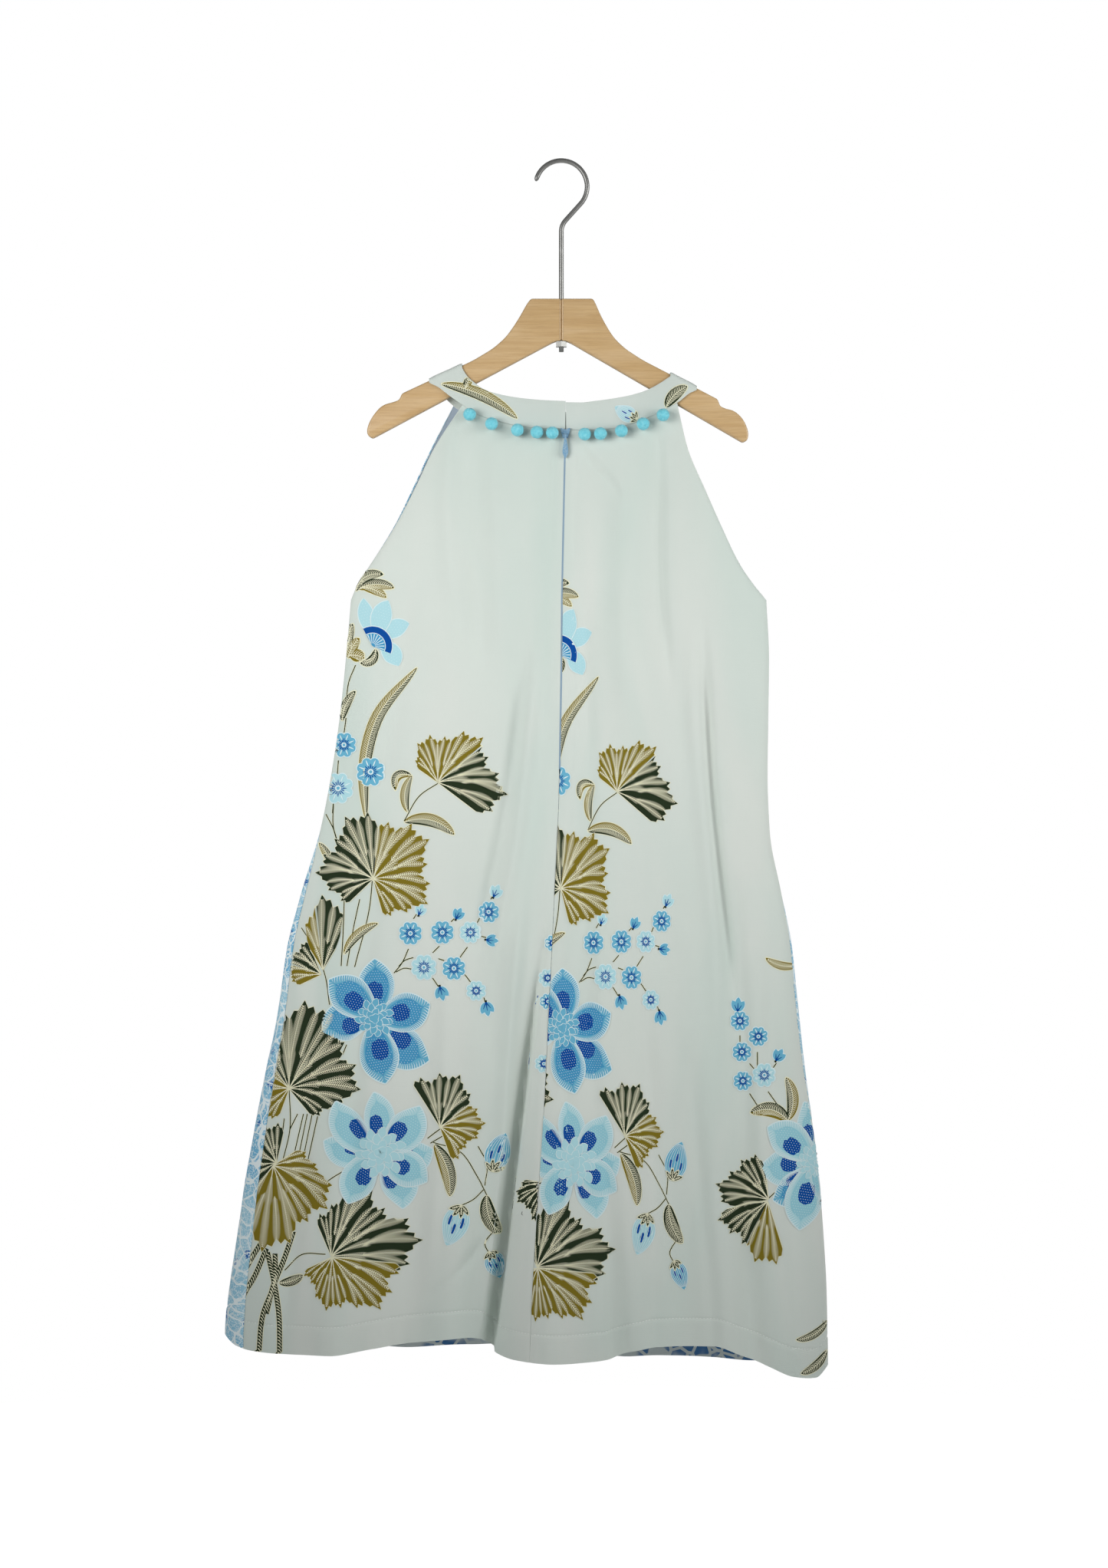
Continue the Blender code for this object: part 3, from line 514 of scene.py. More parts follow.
def crease_shift(side, x, down):
    """How far the finer creases and the cloth's own unevenness move it inwards."""
    shift = np.zeros(x.shape)
    for row in CREASE_ROWS:
        crease = dict(zip(CREASE_COLUMNS, row))
        if crease["side"] != side:
            continue
        along_x = crease["end_x"] - crease["top_x"]
        along_down = crease["end_down"] - crease["top_down"]
        length = math.hypot(along_x, along_down)
        from_x = x - crease["top_x"]
        from_down = down - crease["top_down"]
        along = (from_x * along_x + from_down * along_down) / length ** 2
        off = (from_x * along_down - from_down * along_x) / length
        off += CREASE_WANDER * np.sin(along * CREASE_WAVES + crease["top_x"])
        fade = ease(along * CREASE_FADE) * ease((1 - along) * CREASE_FADE)
        shift += crease["depth"] * fade * np.exp(-(off / crease["width"]) ** 2)
    broad = np.sin(x / 17.0 + 1.9 * np.sin(down / 61.0)) * np.sin(down / 83.0 + x / 140.0)
    fine = np.sin(x / 7.3 + 1.4 * np.sin(down / 23.0)) * np.sin(down / 31.0)
    return shift + BROAD_UNEVEN * broad + FINE_UNEVEN * fine


def half_gap(seam, down):
    """Half the gap at a panel's edge: the zip's slot at the centre back, or a plain seam."""
    if seam != "zip":
        return np.full(down.shape, SEAM / 2)
    slot = 1 - ease((down - ZIP_END_DOWN) / SLOT_CLOSES)
    return blend(SEAM, ZIP_SLOT, slot) / 2


def row_places():
    """Where the rows of a panel lie: the falls of the bodice, then those of the skirt,
    which stand closer at the hem's stitching."""
    turn_up = 1 - HEM_TURN / (HEM_DOWN - UNDERARM_DOWN)
    near = np.array((-3.0, -1.6, -0.8, 0.0, 0.8, 1.6, 3.0)) / (HEM_DOWN - UNDERARM_DOWN)
    bodice = np.linspace(0, 1, BODICE_STEPS, endpoint=False)
    skirt = np.linspace(0, turn_up + near[0] * 2, SKIRT_STEPS)
    skirt = np.concatenate((skirt, turn_up + near, np.linspace(turn_up + near[-1] * 2, 1, 5)))
    return bodice, skirt, turn_up


def panel_grid(panel, columns, from_seam, to_seam):
    """The outer and the inner face of one panel, in millimetres."""
    bodice, skirt, turn_up = row_places()
    across = np.linspace(0, 1, columns + 1)
    upper = bodice_point(panel, *np.meshgrid(across, bodice))
    lower = skirt_point(panel, *np.meshgrid(across, skirt))
    points = np.concatenate((upper, lower))
    down = -points[..., 2]
    sideways = np.gradient(points, axis=1)
    sideways /= np.linalg.norm(sideways, axis=-1, keepdims=True)
    near_from = np.clip(1 - across / EDGE_BLEND, 0, 1)
    near_to = np.clip(1 - (1 - across) / EDGE_BLEND, 0, 1)
    push = half_gap(from_seam, down) * near_from - half_gap(to_seam, down) * near_to
    points = points + sideways * push[..., None]

    normal = grid_normals(points)
    width = np.linalg.norm(np.diff(points, axis=1), axis=-1).sum(axis=1)[:, None]
    from_edge = across * width
    to_edge = (1 - across) * width
    calm = ease(np.minimum(from_edge, to_edge) / CALM_BESIDE_EDGE)
    calm *= ease((down - down.min(axis=0)) / CALM_UNDER_TOP)
    shift = crease_shift(panel["side"], points[..., 0], down) * calm
    falls = np.concatenate((np.full(len(bodice), -1.0), skirt))[:, None]
    past_stitch = (falls - turn_up) * (HEM_DOWN - UNDERARM_DOWN)
    waver = np.sin(points[..., 0] / 4.1 + 2 * np.sin(points[..., 0] / 13.0))
    shift += np.exp(-(past_stitch / 1.3) ** 2) * (HEM_DIP + HEM_WAVER * waver)
    shift -= np.where(falls > 0, ease(past_stitch / 3) * (HEM_STEP + HEM_WAVER * waver), 0)
    for seam, edge in ((from_seam, from_edge), (to_seam, to_edge)):
        if seam == "zip":
            pucker = np.sin(down / 5.3 + 1.7 * np.sin(down / 19.0))
            row = np.exp(-((edge - ZIP_STITCHES_IN) / 1.6) ** 2)
            shift += row * (ZIP_DIP + ZIP_PUCKER * pucker)
        shift += np.exp(-(edge / 1.5) ** 2) * SEAM_DIP
    points = points - normal * shift[..., None]
    return points, points - grid_normals(points) * CLOTH


def shell(name, outer, inner, outer_surface, inner_surfaces=(), inner_row=0):
    """A closed wall between two grids of points in millimetres. Its inner face may have two
    surfaces of its own, which meet at a row."""
    rows, columns = outer.shape[:2]
    size = rows * columns
    index = np.arange(size).reshape(rows, columns)
    out_faces = grid_faces((rows, columns))
    in_faces = out_faces[:, ::-1] + size
    rim = np.concatenate((index[0, :-1], index[:-1, -1], index[-1, :0:-1], index[:0:-1, 0]))
    after = np.roll(rim, -1)
    rim_faces = np.stack((after, rim, rim + size, after + size), axis=1)
    faces = np.concatenate((out_faces, rim_faces, in_faces))
    points = np.concatenate((outer.reshape(-1, 3), inner.reshape(-1, 3))) * MM
    made = mesh_piece(name, points, faces, outer_surface)
    if inner_surfaces:
        for surface in inner_surfaces:
            made.data.materials.append(surface)
        slots = np.zeros(len(faces), np.int32)
        slots[-len(in_faces):] = 1 + (np.arange(len(in_faces)) >= inner_row * (columns - 1))
        made.data.polygons.foreach_set("material_index", slots)
    made.data.set_sharp_from_angle(angle=math.radians(55))
    return made


def mesh_piece(name, points, faces, surface):
    """A smooth-shaded piece from points in metres."""
    mesh = bpy.data.meshes.new(name)
    faces = faces.tolist() if isinstance(faces, np.ndarray) else faces
    mesh.from_pydata(points.tolist(), [], faces)
    mesh.update()
    mesh.shade_smooth()
    piece = bpy.data.objects.new(name, mesh)
    bpy.context.scene.collection.objects.link(piece)
    mesh.materials.append(surface)
    return piece


# The neckband

def wood_top(x):
    """How far down the top of the hanger's arm is."""
    outline = ARM_LEFT if x < 0 else ARM_RIGHT
    run = [(px, down) for px, down in outline if 30 < abs(px) < 170 and down < 250]
    run.sort()
    return float(np.interp(x, [p[0] for p in run], [p[1] for p in run]))


def crest(places, order):
    """The band's stations over the top of an arm, each with its neck and lower edge."""
    reach = WOOD_ROUND + SEAM + BAND_CLOTH / 2 + BAND_CLEARS
    corner = WOOD_HALF_THICK - WOOD_ROUND
    bends = [(corner + reach * math.cos(a), WOOD_ROUND - reach * math.sin(a) * BAND_RISES)
             for a in map(math.radians, (0, 30, 60, 90))]
    half = bends + [(0.0, WOOD_ROUND - reach * BAND_RISES)]
    profile = half + [(-y, drop) for y, drop in reversed(half[:-1])]
    stations = [[(x, y, -(wood_top(x) + drop)) for x in places] for y, drop in profile]
    return stations if order == "front first" else stations[::-1]


def band_stations():
    """The band's course from the centre back over the right shoulder, the front and the
    left shoulder to the centre back again."""

    def edges(row, sign):
        named = dict(zip(BAND_COLUMNS, row))
        y = named["out"] * sign
        return [(named["top_x"], y, -named["top_down"]), (named["low_x"], y, -named["low_down"])]

    course = [edges(row, -1) for row in BACK_BAND_RIGHT]
    course += crest(BAND_CREST_RIGHT, "back first")
    course += [edges(row, 1) for row in reversed(FRONT_BAND)]
    course += crest(BAND_CREST_LEFT, "front first")
    course += [edges(row, -1) for row in BACK_BAND_LEFT]
    return np.array(course, float)


def band_grid(steps_per_station=6, drops=15):
    """The outer and the inner face of the band, with rolled edges and a stitched channel."""
    course = band_stations()
    counts = np.arange(len(course))
    places = np.linspace(0, len(course) - 1, (len(course) - 1) * steps_per_station + 1)
    edges = [np.stack([smooth(counts, course[:, edge, axis], places) for axis in range(3)], -1)
             for edge in range(2)]
    drop = np.linspace(0, 1, drops)[:, None, None]
    middle = blend(edges[0][None], edges[1][None], drop)[:, ::-1]
    normal = grid_normals(middle)
    drop = drop[..., 0]
    half = BAND_CLOTH / 2 * np.minimum(1, 0.55 + 9 * np.minimum(drop, 1 - drop))
    waver = np.sin(places / 0.31 + np.sin(places / 1.7))[None, ::-1]
    stitched = 0.28 * np.exp(-((drop - 0.93) / 0.025) ** 2) * (1 + 0.3 * waver)
    soft = 0.22 * np.sin(places / 0.9 + 3 * drop)[:, ::-1] * np.sin(np.pi * drop)
    outer = middle + normal * (half - stitched + soft)[..., None]
    inner = middle - normal * (half - 0.2 * stitched - soft)[..., None]
    return outer, inner


# Materials

# A weave's thread in millimetres, the waves of the texture to one unit, and cotton's gloss
WEAVE_THREAD = 0.42
WEAVE_WAVES = 6.3
COTTON_SHEEN = 0.12
COTTON_SHINE = 0.25


def tint(red, green, blue):
    """A colour as a screen shows it, from 0 to 255, as the linear colour of a shader."""
    made = []
    for part in (red, green, blue):
        part /= 255
        made.append(part / 12.92 if part <= 0.04045 else ((part + 0.055) / 1.055) ** 2.4)
    return (*made, 1.0)


class Surface:
    """A material being built: its nodes, its links and its shader."""

    def __init__(self, name, roughness, metallic=0.0):
        self.material = bpy.data.materials.new(name)
        self.material.use_nodes = True
        self.tree = self.material.node_tree
        self.shader = self.tree.nodes["Principled BSDF"]
        self.set("Roughness", roughness)
        self.set("Metallic", metallic)
        self.place = self.add("ShaderNodeTexCoord").outputs["Object"]

    def feed(self, socket, value):
        """Gives a socket its value, or joins it to another node's output."""
        if isinstance(value, bpy.types.NodeSocket):
            self.tree.links.new(value, socket)
        else:
            socket.default_value = value

    def set(self, socket, value):
        self.feed(self.shader.inputs[socket], value)

    def add(self, kind, inputs=None, **settings):
        """A new node with its settings, and with what some of its inputs are fed."""
        made = self.tree.nodes.new(kind)
        for key, value in settings.items():
            setattr(made, key, value)
        for socket, value in (inputs or {}).items():
            self.feed(made.inputs[socket], value)
        return made

    def mapped(self, scale, turn=(0, 0, 0)):
        """Object coordinates, turned by degrees and scaled."""
        turn = [math.radians(a) for a in turn]
        inputs = {"Vector": self.place, "Rotation": turn, "Scale": scale}
        return self.add("ShaderNodeMapping", inputs).outputs["Vector"]

    def noise(self, scale, at=None, detail=3.0, roughness=0.55, distortion=0.0):
        inputs = {"Vector": at or self.place, "Scale": scale, "Detail": detail,
                  "Roughness": roughness, "Distortion": distortion}
        return self.add("ShaderNodeTexNoise", inputs).outputs["Fac"]

    def wave(self, axis, scale, distortion):
        inputs = {"Vector": self.place, "Scale": scale, "Distortion": distortion,
                  "Detail": 1.5, "Detail Scale": 0.6}
        return self.add("ShaderNodeTexWave", inputs, bands_direction=axis).outputs["Fac"]

    def math(self, operation, first, second):
        inputs = {0: first, 1: second}
        return self.add("ShaderNodeMath", inputs, operation=operation).outputs["Value"]

    def ramp(self, value, stops):
        """Colours along a value: a list of places and colours."""
        node = self.add("ShaderNodeValToRGB", {"Fac": value})
        line = node.color_ramp.elements
        while len(line) < len(stops):
            line.new(0.5)
        for element, (place, colour) in zip(line, stops):
            element.position = place
            element.color = colour
        return node.outputs["Color"]

    def mix(self, share, first, second, how="MIX"):
        inputs = {0: share, 6: first, 7: second}
        return self.add("ShaderNodeMix", inputs, data_type="RGBA", blend_type=how).outputs[2]

    def bump(self, height, strength, distance):
        inputs = {"Height": height, "Strength": strength, "Distance": distance}
        self.set("Normal", self.add("ShaderNodeBump", inputs).outputs["Normal"])

    def voronoi(self, scale, feature, at):
        inputs = {"Vector": at, "Scale": scale}
        return self.add("ShaderNodeTexVoronoi", inputs, feature=feature).outputs["Distance"]

    def step(self, value, edge):
        """From 0 below an edge to 1 above it, with a soft change."""
        return self.ranged(value, "SMOOTHSTEP", {"From Min": edge * 0.85, "From Max": edge * 1.15})

    def ranged(self, value, kind, limits):
        inputs = {"Value": value, **limits}
        return self.add("ShaderNodeMapRange", inputs, interpolation_type=kind).outputs["Result"]

    def rough_by(self, value, low, high):
        self.set("Roughness", self.ranged(value, "LINEAR", {"To Min": low, "To Max": high}))


def weave(surface, strength=0.35):
    """A plain weave's height: crossing threads of uneven thickness, with a few slubs."""
    scale = 1 / (WEAVE_THREAD * MM * WEAVE_WAVES)
    warp = surface.wave("X", scale, 1.2)
    weft = surface.wave("Z", scale, 1.2)
    slubs = surface.noise(1.0, surface.mapped((60, 60, 900)), 2.0)
    crossed = surface.math("MULTIPLY", surface.math("MULTIPLY", warp, weft), 0.7)
    height = surface.math("ADD", crossed, surface.math("MULTIPLY", slubs, 0.6))
    surface.bump(height, strength, 0.0004)
    surface.rough_by(slubs, 0.78, 0.92)


def cotton(name, base, shade):
    """Printed cotton's ground: its tint drifts a little, in upright bands of painted shade."""
    made = Surface(name, 0.86)
    # These upright bands are painted shade: their darker tint stands in for the shade of soft folds
    painted_shade_bands = made.noise(1.0, made.mapped((9, 9, 2.2)), 3.0, 0.5, 0.6)
    threads = made.noise(1.0, made.mapped((700, 700, 90)), 2.0)
    ground = made.ramp(painted_shade_bands, [(0.34, base), (0.68, shade)])
    made.set("Base Color", made.mix(made.math("MULTIPLY", threads, 0.10), ground, tint(188, 200, 196)))
    weave(made)
    made.set("Sheen Weight", COTTON_SHEEN)
    made.set("Sheen Roughness", 0.5)
    made.set("Specular IOR Level", COTTON_SHINE)
    return made.material


def dye(name, colour, roughness=0.85):
    """One colour of the print, which keeps the cotton's weave."""
    made = Surface(name, roughness)
    made.set("Base Color", colour)
    weave(made, strength=0.3)
    made.set("Specular IOR Level", 0.1)
    return made.material


def batik(name):
    """Wax-resist cotton: pale scrolls and rows of dots on blues, with dark blue eyes."""
    made = Surface(name, 0.86)
    swirl = made.add("ShaderNodeTexNoise", {"Vector": made.place, "Scale": 26.0})
    swirled = {0: swirl.outputs["Color"], 1: (0.035, 0.035, 0.035), 2: made.place}
    bent = made.add("ShaderNodeVectorMath", swirled, operation="MULTIPLY_ADD").outputs["Vector"]
    cells = made.voronoi(62.0, "DISTANCE_TO_EDGE", bent)
    fronds = made.voronoi(190.0, "DISTANCE_TO_EDGE", bent)
    grains = made.voronoi(420.0, "F1", made.place)
    eyes = made.voronoi(34.0, "F1", bent)
    tone = made.noise(14.0, None, 2.0)
    ground = made.ramp(tone, [(0.36, tint(112, 178, 212)), (0.62, tint(158, 204, 222))])
    eyed = made.mix(made.step(eyes, 0.19), tint(36, 100, 170), ground)
    dotted = made.mix(made.step(grains, 0.30), tint(214, 232, 238), eyed)
    frond_share = made.math("MULTIPLY", made.math("SUBTRACT", 1.0, made.step(fronds, 0.05)), 0.8)
    fronded = made.mix(frond_share, dotted, tint(214, 232, 238))
    made.set("Base Color", made.mix(made.step(cells, 0.055), tint(226, 238, 240), fronded))
    weave(made)
    made.set("Sheen Weight", COTTON_SHEEN)
    made.set("Specular IOR Level", COTTON_SHINE)
    return made.material


def batik_reverse(name):
    """The wrong side of the printed front: white cotton, deep blue where the dye came through."""
    made = Surface(name, 0.88)
    cells = made.voronoi(70.0, "DISTANCE_TO_EDGE", made.place)
    tone = made.noise(18.0, None, 3.0)
    leafy = made.math("MULTIPLY", made.step(cells, 0.10), made.step(tone, 0.50))
    made.set("Base Color", made.mix(leafy, tint(206, 216, 216), tint(66, 116, 168)))
    weave(made)
    made.set("Specular IOR Level", COTTON_SHINE)
    return made.material


def varnished_wood(name, slope):
    """Pale varnished wood whose grain runs along the arm."""
    made = Surface(name, 0.42)
    along = made.mapped((6, 90, 90), (0, slope, 0))
    broad = made.noise(1.0, along, 4.0, 0.55, 1.2)
    fine = made.noise(1.0, made.mapped((22, 620, 620), (0, slope, 0)), 3.0)
    pores = made.noise(1.0, made.mapped((70, 1500, 1500), (0, slope, 0)), 2.0)
    ground = made.ramp(broad, [(0.30, tint(196, 162, 112)), (0.52, tint(204, 172, 124)),
                               (0.72, tint(211, 181, 136))])
    streaks = made.ramp(fine, [(0.40, tint(168, 124, 74)), (0.60, tint(255, 255, 255))])
    warm = made.mix(0.13, ground, streaks, "MULTIPLY")
    specks = made.ramp(pores, [(0.36, tint(120, 84, 48)), (0.44, tint(255, 255, 255))])
    made.set("Base Color", made.mix(0.10, warm, specks, "MULTIPLY"))
    made.bump(made.math("ADD", fine, pores), 0.12, 0.0003)
    made.rough_by(broad, 0.34, 0.52)
    made.set("Coat Weight", 0.35)
    made.set("Coat Roughness", 0.22)
    return made.material


def brushed_steel(name):
    """Bright drawn wire with fine lines along it."""
    made = Surface(name, 0.34, 0.75)
    lines = made.noise(1.0, made.mapped((3200, 3200, 140)), 2.0)
    smudge = made.noise(60.0, None, 3.0)
    made.set("Base Color", made.ramp(smudge, [(0.3, tint(134, 134, 131)), (0.7, tint(154, 154, 151))]))
    made.bump(lines, 0.04, 0.0001)
    made.rough_by(smudge, 0.34, 0.46)
    return made.material


def lacquer(name, base, worn):
    """Baked enamel on a small metal part, a little worn in patches."""
    made = Surface(name, 0.32, 0.35)
    patches = made.noise(900.0, None, 3.0)
    made.set("Base Color", made.ramp(patches, [(0.42, base), (0.70, worn)]))
    made.bump(made.noise(2600.0, None, 2.0), 0.15, 0.0001)
    made.rough_by(patches, 0.24, 0.42)
    made.set("Coat Weight", 0.3)
    return made.material


def fluff(name):
    """Brushed yarn: bright turquoise, a little paler in random tufts."""
    made = Surface(name, 0.95)
    tufts = made.noise(420.0, None, 3.0)
    made.set("Base Color", made.ramp(tufts, [(0.30, tint(112, 204, 220)), (0.52, tint(128, 214, 228)),
                                  (0.74, tint(150, 222, 232))]))
    made.bump(made.noise(3800.0, None, 2.0), 0.4, 0.0003)
    made.set("Sheen Weight", 0.5)
    made.set("Sheen Roughness", 0.4)
    made.set("Specular IOR Level", 0.1)
    return made.material


def glowing_floor_stage(name, colour):
    """A matt pale floor that glows faintly, and fully at its far end, to meet the white backdrop unseen.
    """
    made = Surface(name, 0.95)
    made.set("Emission Color", (1, 1, 1, 1))
    apart = made.add("ShaderNodeSeparateXYZ", {"Vector": made.place})
    made.set("Emission Strength", made.ranged(apart.outputs["Y"], "SMOOTHSTEP", FLOOR_GLOW))
    made.set("Base Color", colour)
    made.bump(made.noise(240.0, None, 2.0), 0.05, 0.0005)
    made.set("Specular IOR Level", 0.0)
    return made.material


# Stitches, threads and other small forms

def bar_points(start, end, normal, radius):
    """A short rounded thread between two points, flattened on to the cloth."""
    along = (end - start).normalized()
    across = along.cross(normal).normalized()
    ring_places = ((0.0, 0.45), (0.18, 1.0), (0.82, 1.0), (1.0, 0.45))
    points = []
    for place, swell in ring_places:
        middle = start.lerp(end, place)
        for a in range(BAR_SIDES):
            turn = math.tau * a / BAR_SIDES
            offset = across * math.cos(turn) + normal * math.sin(turn) * 0.7
            points.append(middle + offset * radius * swell)
    return points


def bar_faces(first):
    """The faces of one such thread, whose points start at a number."""
    faces = []
    for place in range(3):
        for a in range(BAR_SIDES):
            b = (a + 1) % BAR_SIDES
            low = first + place * BAR_SIDES
            high = low + BAR_SIDES
            faces.append((low + a, low + b, high + b, high + a))
    faces.append(tuple(first + a for a in reversed(range(BAR_SIDES))))
    faces.append(tuple(first + 3 * BAR_SIDES + a for a in range(BAR_SIDES)))
    return faces


def stitches(name, runs, surface):
    """Rows of stitches along runs of points and normals, in millimetres."""
    points = []
    faces = []
    for line, normals in runs:
        reach = reaches(line)
        for start in np.arange(1.0, reach[-1] - STITCH_LENGTH, STITCH_PITCH):
            normal = Vector(sampled(start, reach, normals)).normalized()
            ends = [Vector(sampled(place, reach, line)) + normal * STITCH_LIFT
                    for place in (start, start + STITCH_LENGTH)]
            faces += bar_faces(len(points))
            points += bar_points(*ends, normal, STITCH_THREAD)
    return mesh_piece(name, np.array(points) * MM, faces, surface)


def yarn_balls(name, centres, seed, surface):
    """Round pompoms of short brushed threads on soft uneven cores, as one mesh."""
    draw = random.Random(seed)
    points = []
    faces = []
    for centre in centres:
        core = bmesh.new()
        bmesh.ops.create_icosphere(core, subdivisions=3, radius=CORE_RADIUS)
        first = len(points)
        for vert in core.verts:
            swell = 1 + 0.10 * noise.noise(vert.co * 0.45 + centre)
            points.append(centre + vert.co * swell)
        faces += [[first + v.index for v in face.verts] for face in core.faces]
        core.free()
        for count in range(THREADS):
            height = 1 - 2 * (count + 0.5) / THREADS
            turn = count * GOLDEN_ANGLE + draw.uniform(-0.2, 0.2)
            flat = math.sqrt(1 - height * height)
            out = Vector((flat * math.cos(turn), flat * math.sin(turn), height))
            lean = Vector((draw.gauss(0, 0.16), draw.gauss(0, 0.16), draw.gauss(0, 0.16)))
            tip = (out + lean).normalized()
            root = centre + out * ROOT_RADIUS
            end = root + tip * draw.uniform(1.0, 1.5)
            middle = root.lerp(end, 0.55) + lean * 0.3
            side = tip.orthogonal().normalized() * THREAD_HALF
            across = tip.cross(side)
            first = len(points)
            for place, swell in ((root, 1.0), (middle, 0.85)):
                points += [place + side * swell, place + (across * 0.87 - side * 0.5) * swell,
                           place - (across * 0.87 + side * 0.5) * swell]
            points.append(end)
            for a in range(3):
                b = (a + 1) % 3
                faces.append([first + a, first + b, first + 3 + b, first + 3 + a])
                faces.append([first + 3 + a, first + 3 + b, first + 6])
            faces.append([first + 2, first + 1, first])
    return mesh_piece(name, np.array(points) * MM, faces, surface)


# The zip

def zip_coil(name, line, normals, surface):
    """The zip's coil as a row of small rungs across its line, in millimetres."""
    points = []
    faces = []
    reach = reaches(line)
    for count, place in enumerate(np.arange(1.0, reach[-1] - 1, COIL_PITCH)):
        normal = Vector(sampled(place, reach, normals)).normalized()
        middle = Vector(sampled(place, reach, line)) - normal * COIL_DEPTH
        half = Vector((COIL_HALF, 0, COIL_SLANT if count % 2 else -COIL_SLANT))
        faces += bar_faces(len(points))
        points += bar_points(middle - half, middle + half, normal, COIL_THREAD)
    return mesh_piece(name, np.array(points) * MM, faces, surface)


# The hanger

def rounded_outline(corners):
    """An outline with points every few millimetres, its corners softened."""
    corners = [Vector(c) for c in corners]
    made = []
    for i, here in enumerate(corners):
        before = corners[i - 1] - here
        after = corners[(i + 1) % len(corners)] - here
        bend = math.degrees((-before).angle(after))
        limit = SHARP_CORNER if bend > SHARP_BEND else WIDE_CORNER
        start = here + before.normalized() * min(before.length / 2, limit)
        reach_out = min(after.length / 2, limit)
        end = here + after.normalized() * reach_out
        made += [curve(start, here, end, place / 4) for place in range(5)]
        run = max(after.length - reach_out - min(after.length / 2, WIDE_CORNER), 0)
        stops = int(run / OUTLINE_STEP)
        made += [end + after.normalized() * run * place / stops for place in range(1, stops)]
    return [p for i, p in enumerate(made) if (p - made[i - 1]).length > 0.05]


def inset(outline, distance):
    """An outline moved in by a distance."""
    made = []
    for i, here in enumerate(outline):
        before = (here - outline[i - 1]).normalized()
        after = (outline[(i + 1) % len(outline)] - here).normalized()
        in_before = Vector((-before.y, before.x))
        in_after = Vector((-after.y, after.x))
        miter = (in_before + in_after).normalized()
        made.append(here + miter * distance / max(miter.dot(in_before), 0.5))
    return made


def hanger_arm(name, side, surface):
    """One arm: a board with rounded edges, cut square at the joint in the middle."""
    top = (side * SEAM / 2, BOARD_TOP_DOWN)
    seat = (side * SEAM / 2, NUT_SEAT_DOWN)
    corners = (top, *ARM_LEFT, seat) if side < 0 else (seat, *ARM_RIGHT, top)
    outline = rounded_outline([(x, -down) for x, down in corners])
    layers = []
    for angle in (-90, -65, -40, -20, 0):
        a = math.radians(angle)
        y = -(WOOD_HALF_THICK - WOOD_ROUND) + WOOD_ROUND * math.sin(a)
        layers.append((y, WOOD_ROUND * (1 - math.cos(a))))
    layers += [(-y, depth) for y, depth in reversed(layers)]
    size = len(outline)
    points = []
    for y, depth in layers:
        for plain, p in zip(outline, inset(outline, depth)):
            under = max((p - plain).y / max(depth, 0.01), 0.0) if abs(plain.x) > 8 else 0.0
            x = max(abs(p.x), SEAM / 2) * side
            points.append((x, y, p.y + (p - plain).y * under * 1.4))
    faces = [list(range(size))[::-1], list(range(len(points) - size, len(points)))]
    for layer in range(len(layers) - 1):
        for corner in range(size):
            here = layer * size + corner
            there = layer * size + (corner + 1) % size
            faces.append([here, there, there + size, here + size])
    piece = mesh_piece(name, np.array(points) * MM, faces, surface)
    fix = bmesh.new()
    fix.from_mesh(piece.data)
    bmesh.ops.recalc_face_normals(fix, faces=fix.faces)
    fix.to_mesh(piece.data)
    fix.free()
    piece.data.set_sharp_from_angle(angle=math.radians(35))
    return piece


def tube(name, course, radius, surface, sides=20):
    """A round wire along a smooth course in millimetres, rounded at its first end."""
    tangents = np.gradient(course, axis=0)
    tangents /= np.linalg.norm(tangents, axis=1, keepdims=True)
    depth = np.array((0.0, 1.0, 0.0))
    points = []
    swells = np.ones(len(course))
    swells[:3] = (0.35, 0.75, 0.95)
    for middle, tangent, swell in zip(course, tangents, swells):
        side = np.cross(tangent, depth)
        for a in range(sides):
            turn = math.tau * a / sides
            points.append(middle + (side * math.cos(turn) + depth * math.sin(turn)) * radius * swell)
    faces = []
    for ring_count in range(len(course) - 1):
        for a in range(sides):
            b = (a + 1) % sides
            low = ring_count * sides
            faces.append([low + a, low + b, low + sides + b, low + sides + a])
    faces.append(list(range(sides))[::-1])
    faces.append([(len(course) - 1) * sides + a for a in range(sides)])
    return mesh_piece(name, np.array(points) * MM, faces, surface)


def hook_course():
    """Three quarters of a ring, a sweep back to the middle and the shank."""
    centre = np.array((0.0, 0.0, WIRE_RADIUS - HOOK_RADIUS))
    course = []
    for degrees in range(HOOK_STARTS, HOOK_LEAVES - 1, -3):
        a = math.radians(degrees)
        course.append(centre + np.array((math.cos(a), 0, math.sin(a))) * HOOK_RADIUS)
    slope = math.radians(90 + HOOK_LEAVES)
    leave = course[-1]
    run = leave[0] / math.cos(slope)
    corner = np.array((0.0, 0.0, leave[2] - run * math.sin(slope)))
    tangent = SWEEP_RADIUS * math.tan((math.pi / 2 - slope) / 2)
    start = corner + (leave - corner) / np.linalg.norm(leave - corner) * tangent
    stop = corner - np.array((0.0, 0.0, tangent))
    course += [curve(start, corner, stop, u) for u in np.linspace(0, 1, 14)]
    course += [(0.0, 0.0, -down) for down in np.linspace(-stop[2] + 12, SHANK_END_DOWN, 12)]
    return np.array(course)


# The print: its places in millimetres on the back's left panel, and its second repeat

